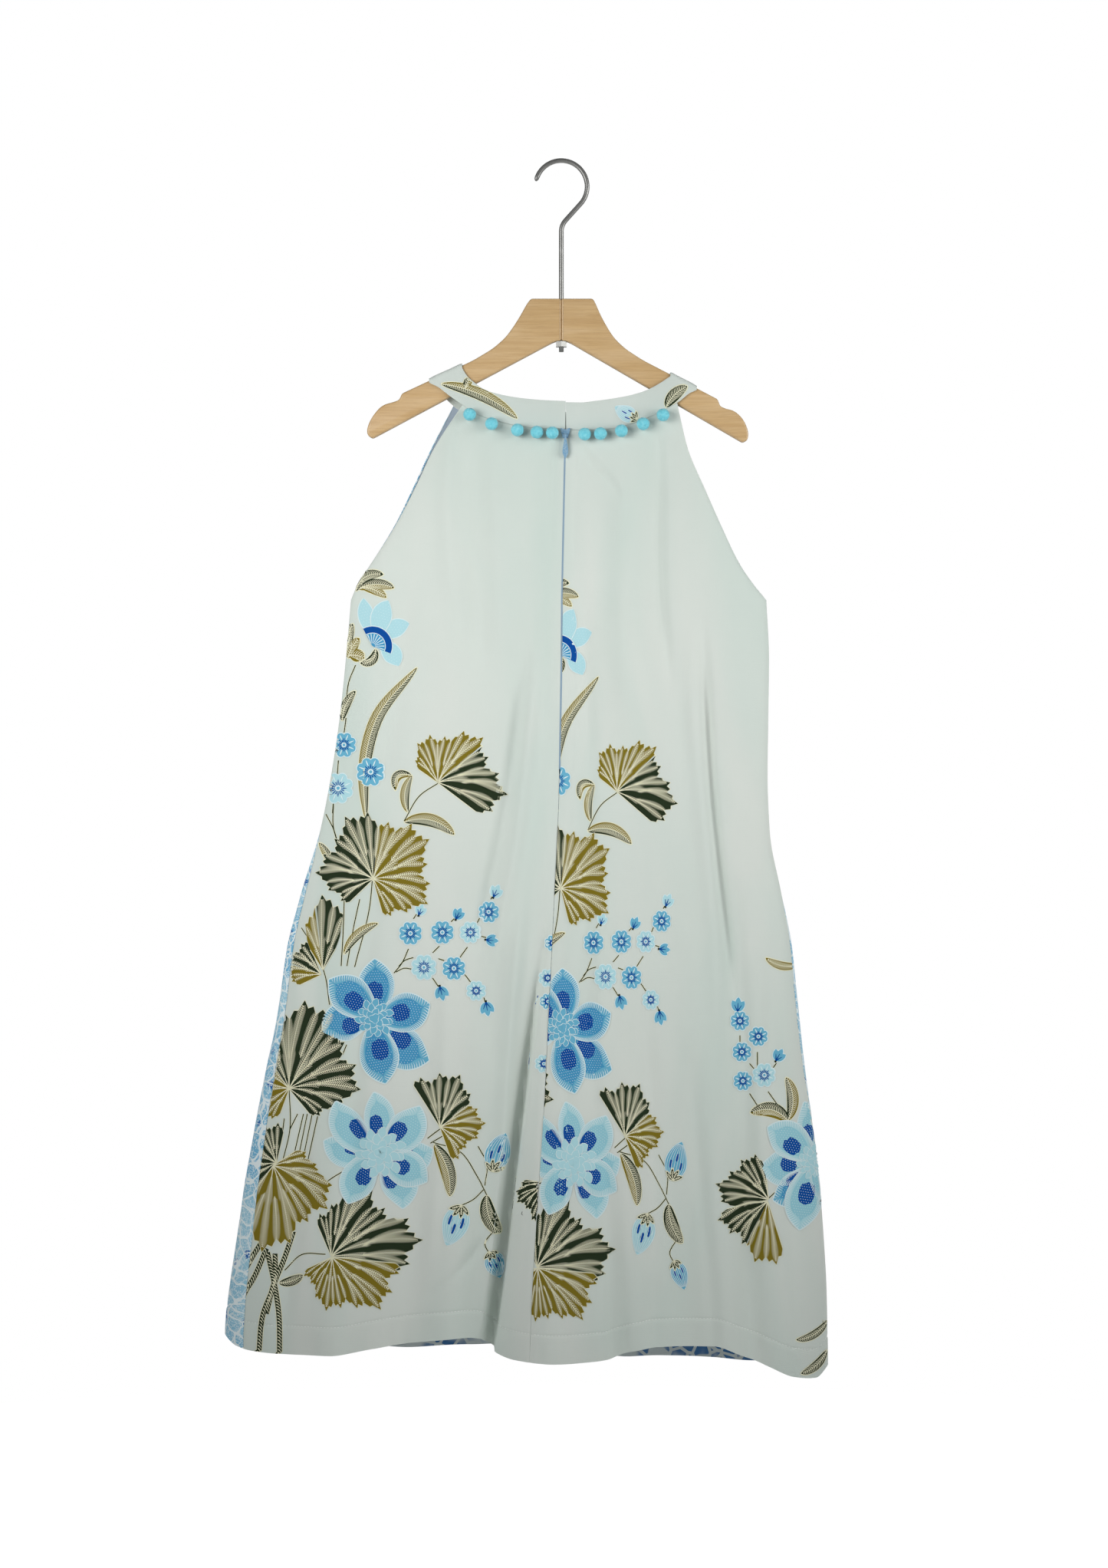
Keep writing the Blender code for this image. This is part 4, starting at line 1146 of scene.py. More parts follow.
LEAF_COLUMNS = ("x", "down", "first", "last", "lobes", "reach_first", "reach_middle",
                "reach_last", "split", "before", "after")
LEAF_ROWS = (
    (-128, 646, -46, 118, 10, 36, 60, 67, 50, "olive", "dark"),
    (-195, 746, -124, 154, 15, 44, 68, 46, 6, "dark", "olive"),
    (-282, 963, -150, 130, 15, 40, 90, 46, -36, "olive", "dark"),
    (-125, 1001, -22, 150, 9, 60, 46, 36, 52, "dark", "olive"),
    (-295, 1040, -128, 2, 7, 36, 44, 38, 90, "dark", "dark"),
    (-298, 1043, 66, 208, 8, 38, 72, 84, 0, "dark", "olive"),
    (-237, 1134, -16, 96, 8, 46, 80, 88, 200, "dark", "dark"),
    (-236, 1135, 104, 236, 9, 78, 56, 34, 0, "dark", "olive"),
    (-249, 845, -104, -34, 4, 34, 38, 42, -72, "olive", "dark"),
    (-247, 840, -22, 20, 3, 56, 76, 56, -8, "olive", "dark"),
)
SIDE_LEAF_ROWS = (
    (214, 1077, -92, -16, 5, 48, 54, 44, 0, "dark", "dark"),
    (213, 1079, 172, 250, 5, 64, 56, 50, 206, "olive", "dark"),
)

BLADE_COLUMNS = ("x", "down", "tip_x", "tip_down", "bow", "width", "left", "right")
BLADE_ROWS = (
    (-131, 1019, -115, 1072, 0.1, 16, "dark", "olive"),
    (-225, 824, -190, 792, 0.12, 10, "olive", "dark"),
    (-237, 737, -252, 709, -0.06, 9, "olive", "dark"),
    (-228, 582, -214, 551, 0.1, 10, "dark", "dark"),
    (-163, 687, -111, 700, 0.16, 14, "olive", "dark"),
    (-159, 677, -155, 639, 0.14, 10, "olive", "dark"),
    (-155, 639, -172, 654, -0.42, 10, "olive", "dark"),
    (-77, 1072, -63, 1112, -0.12, 17, "dark", "dark"),
    (-292, 1163, -267, 1154, -0.1, 10, "dark", "dark"),
    (-214, 447, -185, 430, 0.22, 12, "dark", "dark"),
    (-211, 445, -174, 444, 0.12, 12, "dark", "olive"),
    (-209, 443, -182, 454, 0.1, 10, "olive", "olive"),
    (-224, 510, -217, 481, 0.05, 11, "dark", "dark"),
    (-222, 517, -210, 496, 0.08, 12, "olive", "olive"),
    (-221, 514, -205, 517, 0.1, 14, "olive", "olive"),
    (-193, 507, -209, 522, 0.28, 10, "dark", "dark"),
)
SIDE_BLADE_ROWS = (
    (247, 836, 212, 828, 0.12, 9, "olive", "olive"),
    (235, 996, 233, 952, -0.14, 13, "dark", "olive"),
    (236, 998, 196, 988, -0.2, 16, "olive", "dark"),
    (278, 1205, 243, 1222, 0.12, 9, "dark", "dark"),
    (276, 1236, 248, 1257, 0.12, 10, "dark", "dark"),
)
BAND_BLADE_ROWS = (
    (-125, 231.5, -46, 267.5, 0.08, 13, "olive", "dark"),
    (-100, 236, -95, 224, 0.0, 9, "dark", "olive"),
    (109, 256, 131, 234, 0.1, 13, "dark", "dark"),
)

BLOSSOM_COLUMNS = ("x", "down", "radius", "tone")
BLOSSOM_ROWS = (
    (-226, 607, 13, "mid"),
    (-198, 635, 15, "mid"),
    (-232, 652, 16, "sky"),
    (-156, 802, 12, "mid"),
    (-123, 801, 12, "mid"),
    (-94, 801, 11, "sky"),
    (-75, 780, 11, "mid"),
    (-142, 837, 13, "sky"),
    (-111, 838, 12, "mid"),
    (-88, 861, 10, "sky"),
)
SIDE_BLOSSOM_ROWS = (
    (185, 893, 10, "mid"),
    (204, 909, 10, "mid"),
    (187, 925, 10, "mid"),
    (210, 949, 12, "sky"),
    (188, 955, 10, "mid"),
)

BUD_COLUMNS = ("x", "down", "angle", "length", "tone")
BUD_ROWS = (
    (-146, 779, 20, 12, "sky"),
    (-107, 783, 25, 13, "mid"),
    (-68, 760, 25, 14, "sky"),
    (-73, 809, 95, 13, "mid"),
    (-124, 862, 165, 15, "mid"),
    (-77, 878, 170, 15, "mid"),
)
SIDE_BUD_ROWS = (
    (225, 930, 30, 14, "mid"),
    (183, 878, 4, 15, "mid"),
)

# What shows of a third repeat, cut off by the centre seam
SEAM_BLOSSOM_ROWS = (
    (-9, 812, 8, "mid"),
    (-14, 848, 9, "sky"),
    (-14, 872, 8, "mid"),
    (-18, 936, 9, "sky"),
)
SEAM_LEAF_ROWS = (
    (-16, 1058, -176, -92, 6, 44, 36, 28, -120, "dark", "dark"),
)

POD_COLUMNS = ("x", "down", "angle", "length", "tone")
POD_ROWS = (
    (-70, 1046, 18, 40, "mid"),
    (-104, 1083, 200, 42, "sky"),
    (-74, 1132, 160, 30, "mid"),
)
BAND_POD_ROWS = (
    (78, 267, -62, 25, "sky"),
)

PETAL_COLUMNS = ("x", "down", "angle", "length", "width", "tone")
PETAL_ROWS = (
    (-192, 891, -1, 62, 33, "mid"),
    (-192, 891, -50, 63, 35, "mid"),
    (-192, 891, -104, 56, 35, "mid"),
    (-192, 891, 171, 66, 35, "mid"),
    (-192, 891, 127, 69, 37, "mid"),
    (-192, 891, 74, 58, 35, "mid"),
    (-189, 1028, -4, 62, 27, "sky"),
    (-189, 1028, -40, 68, 30, "sky"),
    (-189, 1028, -78, 57, 30, "sky"),
    (-189, 1028, -149, 60, 31, "sky"),
    (-189, 1028, 156, 62, 33, "sky"),
    (-189, 1028, 120, 58, 32, "sky"),
    (-189, 1028, 86, 56, 32, "sky"),
    (-189, 1028, 42, 64, 33, "sky"),
)
SIDE_PETAL_ROWS = (
    (261, 1040, -8, 62, 32, "sky"),
    (261, 1040, -52, 60, 32, "sky"),
    (261, 1040, -92, 54, 32, "sky"),
    (261, 1040, -168, 70, 35, "sky"),
    (261, 1040, 60, 60, 34, "sky"),
    (261, 1040, 130, 60, 34, "sky"),
    (261, 1040, -132, 56, 30, "mid"),
)
HEART_COLUMNS = ("x", "down", "size", "tone")
HEART_ROWS = (
    (-193, 890, 21, "mid"),
    (-186, 1028, 27, "sky"),
)
SIDE_HEART_ROWS = (
    (261, 1040, 18, "sky"),
)
BELL_COLUMNS = ("angle", "length", "width")
BELL_ROWS = (
    (-20, 46, 16),
    (14, 42, 20),
    (62, 36, 17),
    (142, 34, 18),
)

STEM_ROWS = (
    ((-196, 748), (-198, 770), (-214, 837)),
    ((-209, 767), (-215, 795), (-222, 836)),
    ((-225, 764), (-226, 799), (-228, 836)),
    ((-237, 667), (-237, 692), (-231, 713)),
    ((-245, 679), (-237, 694), (-231, 713)),
    ((-237, 666), (-238, 678)),
    ((-232, 623), (-233, 637)),
    ((-224, 579), (-226, 594)),
    ((-214, 524), (-221, 541), (-224, 562)),
    ((-128, 647), (-146, 659), (-163, 686)),
    ((-270, 797), (-260, 812), (-245, 845), (-240, 876)),
    ((-241, 893), (-244, 906)),
    ((-233, 903), (-237, 917)),
    ((-229, 911), (-232, 925)),
    ((-222, 917), (-226, 927)),
    ((-173, 843), (-165, 833), (-158, 818)),
    ((-168, 836), (-162, 830), (-153, 827)),
    ((-171, 842), (-163, 838), (-154, 839)),
    ((-133, 822), (-126, 815)),
    ((-127, 828), (-121, 830)),
    ((-105, 827), (-97, 816)),
    ((-87, 791), (-84, 785)),
    ((-83, 805), (-75, 807)),
    ((-100, 844), (-93, 853)),
    ((-133, 848), (-126, 858)),
    ((-80, 868), (-78, 875)),
    ((-153, 787), (-149, 781)),
    ((-114, 790), (-110, 786)),
    ((-73, 767), (-70, 762)),
    ((-282, 963), (-281, 1005), (-289, 1040)),
    ((-273, 989), (-281, 1005)),
    ((-287, 994), (-290, 1019)),
    ((-267, 989), (-278, 1037)),
    ((-263, 989), (-273, 1038)),
    ((-258, 990), (-268, 1039)),
    ((-252, 991), (-263, 1041)),
    ((-222, 1045), (-243, 1059), (-260, 1084)),
    ((-138, 1013), (-125, 1003)),
    ((-135, 1018), (-122, 1010)),
    ((-132, 1017), (-105, 1026), (-87, 1052), (-77, 1072)),
    ((-86, 1021), (-77, 1040), (-79, 1062)),
    ((-79, 1038), (-70, 1038), (-70, 1043)),
    ((-80, 1066), (-91, 1076), (-104, 1082)),
    ((-70, 1109), (-79, 1123), (-74, 1133)),
    ((-243, 1132), (-267, 1133), (-286, 1150)),
)
SIDE_STEM_ROWS = (
    ((185, 908), (185, 920)),
    ((203, 925), (203, 943)),
    ((195, 937), (201, 944)),
    ((218, 944), (223, 937)),
    ((214, 966), (224, 980)),
    ((195, 968), (204, 982)),
    ((229, 988), (238, 1000)),
    ((214, 1076), (230, 1062)),
)
BARK_ROWS = (
    ((-311, 1123), (-321, 1139), (-332, 1160)),
    ((-305, 1128), (-318, 1158), (-329, 1177), (-335, 1205)),
    ((-304, 1132), (-297, 1162), (-292, 1195), (-291, 1239)),
    ((-296, 1133), (-296, 1160), (-309, 1198), (-313, 1238)),
    ((-277, 1110), (-286, 1137), (-298, 1167), (-305, 1195)),
)

# Where the second repeat of the print lies: its x is this share of the first's, moved over
REPEAT_SCALE = 0.87
REPEAT_MOVE = 169.0
REPEAT_LEAN = 0.052
REPEAT_LEANS_BELOW = 900.0
REPEAT_DROP = 9.5

# The inks lie on the cloth in five levels, in millimetres above it
RIM, FILL, FIELD, SPOT, MARK = 0.15, 0.20, 0.25, 0.30, 0.35
# A motif over another one lies this much higher
OVER = 0.22
INK_TINT = {
    "cream": (228, 228, 200), "frost": (212, 230, 232), "dark": (36, 48, 30),
    "olive": (124, 109, 30), "sky": (172, 214, 221), "haze": (148, 201, 213),
    "mid": (104, 174, 202), "deep": (70, 148, 190), "royal": (8, 74, 152),
    "vein": (226, 224, 194), "white": (214, 233, 236),
}
# The size of a printed patch's cells, and half the width of the stems
CELL = 2.6
STEM_HALF = 0.52
BARK_HALF = 2.6


# Drawing the print flat

class Ink:
    """Flat grids of points, by colour: x, down and the height above the cloth."""

    def __init__(self):
        self.sheets = {}

    def add(self, colour, grid, lift):
        """Adds a grid of points, or many of one size at once: (..., rows, columns, 2)."""
        held = self.sheets.setdefault(colour, {"count": 0, "points": [], "faces": []})
        flat = grid.reshape(-1, 2)
        held["points"].append(np.hstack((flat, np.full((len(flat), 1), lift))))
        held["faces"].append(grid_faces(grid.shape[:-1]) + held["count"])
        held["count"] += len(flat)


def place_of(named):
    """Where a motif stands: its x and down."""
    return np.array((named["x"], named["down"]), float)


def shares(line):
    """How far along a line each of its points stands, from 0 to 1."""
    return np.linspace(0, 1, len(line))


def heading(degrees):
    """The flat direction of an angle: 0 points up the dress and 90 to the right."""
    a = math.radians(degrees)
    return np.array((math.sin(a), -math.cos(a)))


def sides_of(line):
    """Each point's direction along a line and the direction to the line's right."""
    along = np.gradient(line, axis=0)
    along /= np.maximum(np.linalg.norm(along, axis=1, keepdims=True), 1e-9)
    return along, np.stack((-along[:, 1], along[:, 0]), axis=1)


def bowed(start, end, bow, step=CELL):
    """A bowed line between two points."""
    start = np.asarray(start, float)
    end = np.asarray(end, float)
    chord = end - start
    length = np.linalg.norm(chord)
    middle = (start + end) / 2 + np.array((chord[1], -chord[0])) * bow * 2
    return curve(start, middle, end, np.linspace(0, 1, max(int(length / step), 3) + 1)[:, None])


def through(stops, step=CELL):
    """A smooth line through a few points."""
    stops = np.asarray(stops, float)
    keys = reaches(stops)
    at = np.linspace(0, keys[-1], max(int(keys[-1] / step), 3) + 1)
    if len(stops) == 2:
        return sampled(at, keys, stops)
    pull = np.gradient(stops, keys, axis=0)
    i = np.clip(np.searchsorted(keys, at) - 1, 0, len(stops) - 2)
    leg = np.diff(keys)[i][:, None]
    u = (at - keys[i])[:, None] / leg
    ends = (1 + 2 * u) * (1 - u) ** 2 * stops[i] + u * u * (3 - 2 * u) * stops[i + 1]
    return ends + (u * (1 - u) ** 2 * pull[i] - u * u * (1 - u) * pull[i + 1]) * leg


def ribbon(line, half, low=-1.0, high=1.0):
    """A band of cells along a line, from its left edge (-1) to its right edge (1)."""
    right = sides_of(line)[1]
    half = np.broadcast_to(half, len(line))
    cells = max(1, math.ceil(half.max() * (high - low) / CELL))
    share = np.linspace(low, high, cells + 1)
    return line[:, None] + right[:, None] * half[:, None, None] * share[None, :, None]


def leaf_half(u, width, blunt=0.62):
    """Half the width of a pointed leaf along its length."""
    return width * 2.2 * u ** 0.6 * (1 - u) ** blunt


def on_line(line, places):
    """The points of a line at shares of its length, with the directions ahead and right."""
    u = shares(line)
    return [sampled(places, u, values) for values in (line, *sides_of(line))]


def strokes(stops, ahead, halves):
    """Stations of thin strokes through a few stops, each as wide as it is told."""
    edges = [np.stack((stop - ahead * half, stop + ahead * half), axis=1)
             for stop, half in zip(stops, halves)]
    return np.stack(edges, axis=1)


def veins(ink, line, half, lift, bare=0.0):
    """A pale midrib, with bowed pale strokes on either side that stay within a half width."""
    length = reaches(line)[-1]
    u = shares(line)
    ink.add("vein", ribbon(line[:-1], np.linspace(0.48, 0.3, len(line) - 1)), lift)
    places = np.arange(max(2.0, bare * length), length - 2.0, 2.1) / length
    reach = np.interp(places, u, half) - 0.5
    places = places[reach > 0.9]
    reach = reach[reach > 0.9][:, None]
    root, ahead, out = on_line(line, places)
    for side in (-1, 1):
        stops = (root, root + side * out * reach * 0.55 + ahead * reach * 0.34,
                 root + side * out * reach + ahead * reach)
        ink.add("vein", strokes(stops, ahead, (0.36, 0.46, 0.16)), lift)


def feather(ink, line, width, left, right, lift):
    """A pointed leaf with two halves of their own tone."""
    u = shares(line)
    half = np.maximum(leaf_half(u, width), 0.15)
    outer = line + sides_of(line)[0] * (u[:, None] - 0.3) * 1.3
    ink.add("cream", ribbon(outer, half + 0.8), lift + RIM)
    for tone, low, high in ((left, -1.0, 0.0), (right, 0.0, 1.0)):
        ink.add(tone, ribbon(line, half, low, high), lift + FILL)
    veins(ink, line, half, lift + MARK)


def blade(ink, named, lift):
    """A single bowed leaf."""
    line = bowed(place_of(named), (named["tip_x"], named["tip_down"]), named["bow"], 2.0)
    feather(ink, line, named["width"] / 2, named["left"], named["right"], lift)


def sector(base, turn, near, far, step=4.0):
    """Cells about a base, between two distances that may change with the turn."""
    rows = max(1, math.ceil(np.max(far - near) / step))
    share = np.linspace(0, 1, rows + 1)[:, None]
    out = np.stack((np.sin(np.radians(turn)), -np.cos(np.radians(turn))), axis=1)
    return base + out[None] * blend(near, far, share)[..., None]


def palm_leaf(ink, named, lift):
    """A broad toothed leaf: feathered veins fanned about a base, with shorter ones between."""
    base = place_of(named)
    lobes = named["lobes"]
    spacing = (named["last"] - named["first"]) / (lobes - 1)
    place = np.linspace(-0.5, lobes - 0.5, lobes * 12 + 1)
    turn = named["first"] + place * spacing
    share = 2 * place / (lobes - 1) - 1
    ends = (named["reach_first"] + named["reach_last"]) / 2
    reach = blend(named["reach_middle"], ends, share ** 2)
    reach += (named["reach_last"] - named["reach_first"]) / 2 * share
    reach *= 1 + 0.10 * np.cos(place * 1.9 + lobes)
    tooth = np.abs((place % 1) * 2 - 1)
    fine = np.abs((place * 3 % 1) * 2 - 1)
    edge = reach * (0.89 + 0.11 * tooth ** 1.2 - 0.06 * (1 - fine))
    ink.add("cream", sector(base, turn, edge - 1.5, edge + 0.9), lift + RIM)
    for outer in (0, -1):
        side = bowed(base, base + heading(turn[outer]) * edge[outer], 0.0)
        ink.add("cream", ribbon(side, 0.8), lift + RIM)
    halves = ((named["before"], turn <= named["split"]), (named["after"], turn >= named["split"]))
    for tone, part in halves:
        if part.sum() > 1:
            ink.add(tone, sector(base, turn[part], edge[part] * 0.02, edge[part]), lift + FILL)
    for count in range(lobes * 2 - 1):
        short = count % 2
        angle = named["first"] + count / 2 * spacing
        length = np.interp(count / 2, place, edge) * (0.97, 1.06)[short]
        end = base + heading(angle) * length
        bow = 0.08 * math.sin(math.radians(angle)) + 0.03 * math.sin(count * 1.3)
        line = bowed(blend(base, end, (0.0, 0.40)[short]), end, bow * (1.0, 0.6)[short])
        away = np.linspace((0.0, 0.40)[short], 1, len(line))
        room = away * length * math.radians(spacing) / np.where(away > 0.40, 3.8, 2.0)
        room *= np.clip((1 - away) * 4, 0, 1) ** 0.6
        veins(ink, line, np.minimum(room, 4.8) - 0.1, lift + MARK, (0.14, 0.04)[short])


def dots(ink, line, half, tone, pitch, size, lift, low, high):
    """Small dots in rows over a leaf-shaped patch."""
    u = shares(line)
    length = reaches(line)[-1]
    across = sides_of(line)[1]
    marks = []
    for row, at in enumerate(np.arange(low * length, high * length, pitch) / length):
        middle = sampled(at, u, line)
        right = sampled(at, u, across)
        wide = np.interp(at, u, half) - 1.0
        start = pitch / 2 if row % 2 else 0.0
        for off in np.arange(start, max(wide, 0), pitch):
            for side in ((-1, 1) if off > 0 else (1,)):
                marks.append(middle + right * off * side)
    if not marks:
        return
    marks = np.array(marks)[:, None, None, :]
    corners = np.array(((-1, -0.35), (-0.35, -1)), float), np.array(((0.35, 1), (1, 0.35)), float)
    ink.add(tone, marks + np.stack(corners)[None] * size, lift)


def petal(ink, named, lift):
    """A pointed petal: a combed border, a dotted field and a dark dotted spot."""
    base = place_of(named)
    tip = base + heading(named["angle"]) * named["length"]
    line = bowed(base, tip, 0.13 * math.sin(named["angle"] * 0.13))
    u = shares(line)
    wide = named["width"] / 2
    half = np.maximum(wide * 2.16 * u ** 0.78 * (1 - u ** 2.6) ** 0.95 + 1.4 * (1 - u), 0.2)
    ink.add("frost", ribbon(line + sides_of(line)[0] * u[:, None], half + 1.0), lift + RIM)
    ink.add(named["tone"], ribbon(line, half), lift + FILL)
    inner = np.maximum((half - 5.4) * ease((0.90 - u) * 6), 0.02)
    ink.add("deep" if named["tone"] == "mid" else "haze", ribbon(line, inner), lift + FIELD)
    length = named["length"]
    places = np.arange(0.20 * length, 0.985 * length, 1.75) / length
    root, ahead, out = on_line(line, places)
    edge = np.interp(places, u, half)[:, None]
    depth = np.minimum(edge * 0.8, 4.6)
    for side in (-1, 1):
        stops = (root + side * out * (edge + 0.4), root + side * out * (edge - depth * 0.5) - ahead * 1.4,
                 root + side * out * (edge - depth) - ahead * 3.4)
        ink.add("white", strokes(stops, ahead, (0.46, 0.40, 0.14)), lift + MARK)
    dots(ink, line, inner, "white", 2.6, 0.46, lift + MARK, 0.30, 0.86)
    spot = bowed(base + (tip - base) * 0.30, base + (tip - base) * 0.64, 0.0)
    v = shares(spot)
    round_half = wide * 0.50 * np.sqrt(np.clip(1 - (2 * v - 1) ** 2, 0, 1)) ** 0.6
    ink.add("royal", ribbon(spot, np.maximum(round_half, 0.05)), lift + SPOT)


def disc(ink, colour, centre, radius, lift, scallops=0, depth=0.0, rings=3, sides=40):
    """A round or scalloped patch."""
    turn = np.linspace(0, math.tau, sides + 1)
    edge = radius * (1 - depth + depth * np.abs(np.sin(turn * scallops / 2)) ** 0.7)
    share = np.linspace(0.02, 1, rings + 1)[:, None]
    x = centre[0] + share * edge * np.sin(turn)
    down = centre[1] - share * edge * np.cos(turn)
    ink.add(colour, np.stack((x, down), axis=-1), lift)


def rays(ink, colour, centre, low, high, count, half, offset, lift):
    """Strokes that stand out from a centre."""
    turn = (np.arange(count) + offset) / count * math.tau
    out = np.stack((np.sin(turn), -np.cos(turn)), axis=1)
    side = np.stack((-out[:, 1], out[:, 0]), axis=1)
    stations = []
    for place, wide in ((low, half * 0.5), ((low + high) / 2, half), (high, half * 0.35)):
        middle = np.asarray(centre, float) + out * place
        stations.append(np.stack((middle - side * wide, middle + side * wide), axis=1))
    ink.add(colour, np.stack(stations, axis=1), lift)


def blossom(ink, named, lift):
    """A scalloped blossom with pale loops and a dashed ring at its centre."""
    centre = place_of(named)
    radius = named["radius"]
    disc(ink, "frost", centre, radius + 1.0, lift + RIM, 8, 0.16)
    disc(ink, named["tone"], centre, radius, lift + FILL, 8, 0.18)
    rays(ink, "white", centre, radius * 0.42, radius * 0.86, 8, 0.62, 0.5, lift + MARK)
    rays(ink, "royal", centre, radius * 0.20, radius * 0.56, 16, 0.62, 0.0, lift + SPOT)
    disc(ink, "white", centre, radius * 0.20, lift + MARK, sides=16, rings=1)
    disc(ink, "mid", centre, radius * 0.11, lift + MARK + 0.05, sides=12, rings=1)


def bud(ink, named, lift):
    """A small three-pointed bud on a short thick stalk."""
    base = place_of(named)
    ahead = heading(named["angle"])
    foot = base - ahead * named["length"] * 0.35
    ink.add("dark", ribbon(bowed(foot - ahead * 2, foot + ahead * 2, 0.0), 1.1), lift + FILL)
    for lean, rim_share, share in ((-30, 0.86, 0.84), (30, 0.86, 0.84), (0, 1.0, 0.97)):
        reach = heading(named["angle"] + lean) * named["length"]
        for tone, part, wider, level in (("frost", rim_share, 0.9, RIM), (named["tone"], share, 0, FILL)):
            line = bowed(foot, foot + reach * part, 0.0, 1.8)
            half = leaf_half(shares(line), named["length"] * 0.25, 0.7)
            ink.add(tone, ribbon(line, np.maximum(half, 0.2) + wider), lift + level)
        stroke = bowed(foot, foot + reach * share * 0.6, 0.0, 1.8)
        ink.add("royal", ribbon(stroke, np.linspace(0.7, 0.25, len(stroke))), lift + SPOT)


def pod(ink, named, lift):
    """A larger closed bud: lined petals, dark drops and three sepals."""
    base = place_of(named)
    length = named["length"]
    tip = base + heading(named["angle"]) * length
    line = bowed(base, tip, 0.03)
    v = shares(line)
    half = np.maximum(length * 0.31 * np.sin(np.pi * v ** 0.75) ** 0.75, 0.2)
    ink.add("frost", ribbon(line, half + 1.0), lift + RIM)
    ink.add(named["tone"], ribbon(line, half), lift + FILL)
    right = sides_of(line)[1]
    for share in (-0.85, -0.62, -0.38, -0.12, 0.14, 0.4, 0.64, 0.86):
        course = line + right * (half * share)[:, None]
        ink.add("white", ribbon(course[1:-1], 0.26), lift + MARK)
    for share, low in ((-0.5, 0.28), (0.52, 0.25), (0.02, 0.46)):
        centre = line + right * (half * share)[:, None]
        first = int(low * len(line))
        drop = centre[first:first + max(int(0.30 * len(line)), 3)]
        w = shares(drop)
        ink.add("royal", ribbon(drop, length * 0.055 * np.sin(np.pi * (0.1 + 0.8 * w))), lift + SPOT)
    for lean in (-62, 62, -20, 20):
        end = base + heading(named["angle"] + lean) * length * 0.27
        feather(ink, bowed(base - heading(named["angle"]) * 1.5, end, 0.05), length * 0.05,
                "dark", "dark", lift + OVER)


def flower_heart(ink, named, lift):
    """The middle of a large flower: rings of small pale scales with frosted edges."""
    centre = place_of(named)
    size = named["size"]
    for count, near, far, turn in ((11, 0.55, 1.0, 0.0), (9, 0.32, 0.76, 21.0), (6, 0.10, 0.52, 9.0),
                                   (3, -0.05, 0.28, 40.0)):
        for place in range(count):
            angle = place * 360 / count + turn
            start = centre + heading(angle) * size * near
            end = centre + heading(angle + 9) * size * far * (1, 0.90)[place % 2]
            line = bowed(start, end, 0.08, 1.8)
            u = shares(line)
            half = np.maximum(size * 0.155 * np.sin(np.pi * u ** 0.9) ** 0.85, 0.15)
            ink.add("frost", ribbon(line, half + 0.7), lift + RIM)
            ink.add(named["tone"], ribbon(line, half), lift + FILL)
        lift += 0.08


def stem(ink, stops, lift):
    """A thin dark stem with pale edges."""
    line = through(stops)
    ink.add("cream", ribbon(line, STEM_HALF + 0.5), lift + RIM)
    ink.add("dark", ribbon(line, STEM_HALF), lift + FILL)


def bark_stem(ink, stops, lift):
    """A thick stem with slanting pale strokes."""
    line = through(stops)
    ink.add("cream", ribbon(line, BARK_HALF + 0.8), lift + RIM)
    ink.add("dark", ribbon(line, BARK_HALF), lift + FILL)
    length = reaches(line)[-1]
    root, ahead, out = on_line(line, np.arange(2.0, length - 3, 3.2) / length)
    stops = (root - out * 2.2 + ahead * 2.8, root + ahead * 0.2, root + out * 2.0 - ahead * 0.8)
    ink.add("vein", strokes(stops, ahead, (0.25, 0.7, 0.25)), lift + MARK)


def bell_flower(ink, base, lift):
    """A nodding flower: four dotted petals about a dark ribbed cup."""
    base = np.array(base, float)
    for order, row in enumerate(BELL_ROWS):
        named = dict(zip(BELL_COLUMNS, row))
        level = lift + OVER * (order % 2)
        line = bowed(base + heading(named["angle"]) * 4,
                     base + heading(named["angle"]) * named["length"], 0.08)
        u = shares(line)
        half = np.maximum(named["width"] * 0.95 * u ** 0.6 * (1 - u ** 2.4) ** 0.9, 0.3)
        ink.add("frost", ribbon(line, half + 1.0), level + RIM)
        ink.add("sky", ribbon(line, half), level + FILL)
        dots(ink, line, half, "white", 3.0, 0.42, level + MARK, 0.25, 0.95)
    foot = base + heading(225) * 9
    lift += 2 * OVER
    for reach, tone, level in ((21.5, "frost", RIM), (20.5, "royal", FILL), (14.0, "frost", FIELD),
                               (13.2, "deep", SPOT)):
        turn = np.radians(np.linspace(-28, 112, 16))
        share = np.linspace(0.03, 1, 5)[:, None]
        x = foot[0] + share * reach * np.sin(turn)
        down = foot[1] - share * reach * np.cos(turn)
        ink.add(tone, np.stack((x, down), axis=-1), lift + level)
    for angle in np.linspace(-22, 106, 9):
        line = bowed(foot + heading(angle) * 3, foot + heading(angle) * 12.6, 0.0, 3.0)
        ink.add("white", ribbon(line, np.linspace(0.2, 0.5, len(line))), lift + MARK)


def draw(ink, tables):
    """Everything in one set of tables, each kind of motif over the ones before it."""
    shapes = (
        ("barks", None, bark_stem, 0.0), ("stems", None, stem, 0.0),
        ("blades", BLADE_COLUMNS, blade, 0.04), ("leaves", LEAF_COLUMNS, palm_leaf, 0.06),
        ("petals", PETAL_COLUMNS, petal, 0.10), ("hearts", HEART_COLUMNS, flower_heart, 0.10 + 2 * OVER),
        ("blossoms", BLOSSOM_COLUMNS, blossom, OVER), ("buds", BUD_COLUMNS, bud, 0.10),
        ("pods", POD_COLUMNS, pod, 0.10),
    )
    for key, columns, shape, lift in shapes:
        for order, row in enumerate(tables.get(key, ())):
            over = OVER * (order % 2) if key in ("petals", "leaves") else 0.0
            shape(ink, dict(zip(columns, row)) if columns else row, lift + over)
    return ink


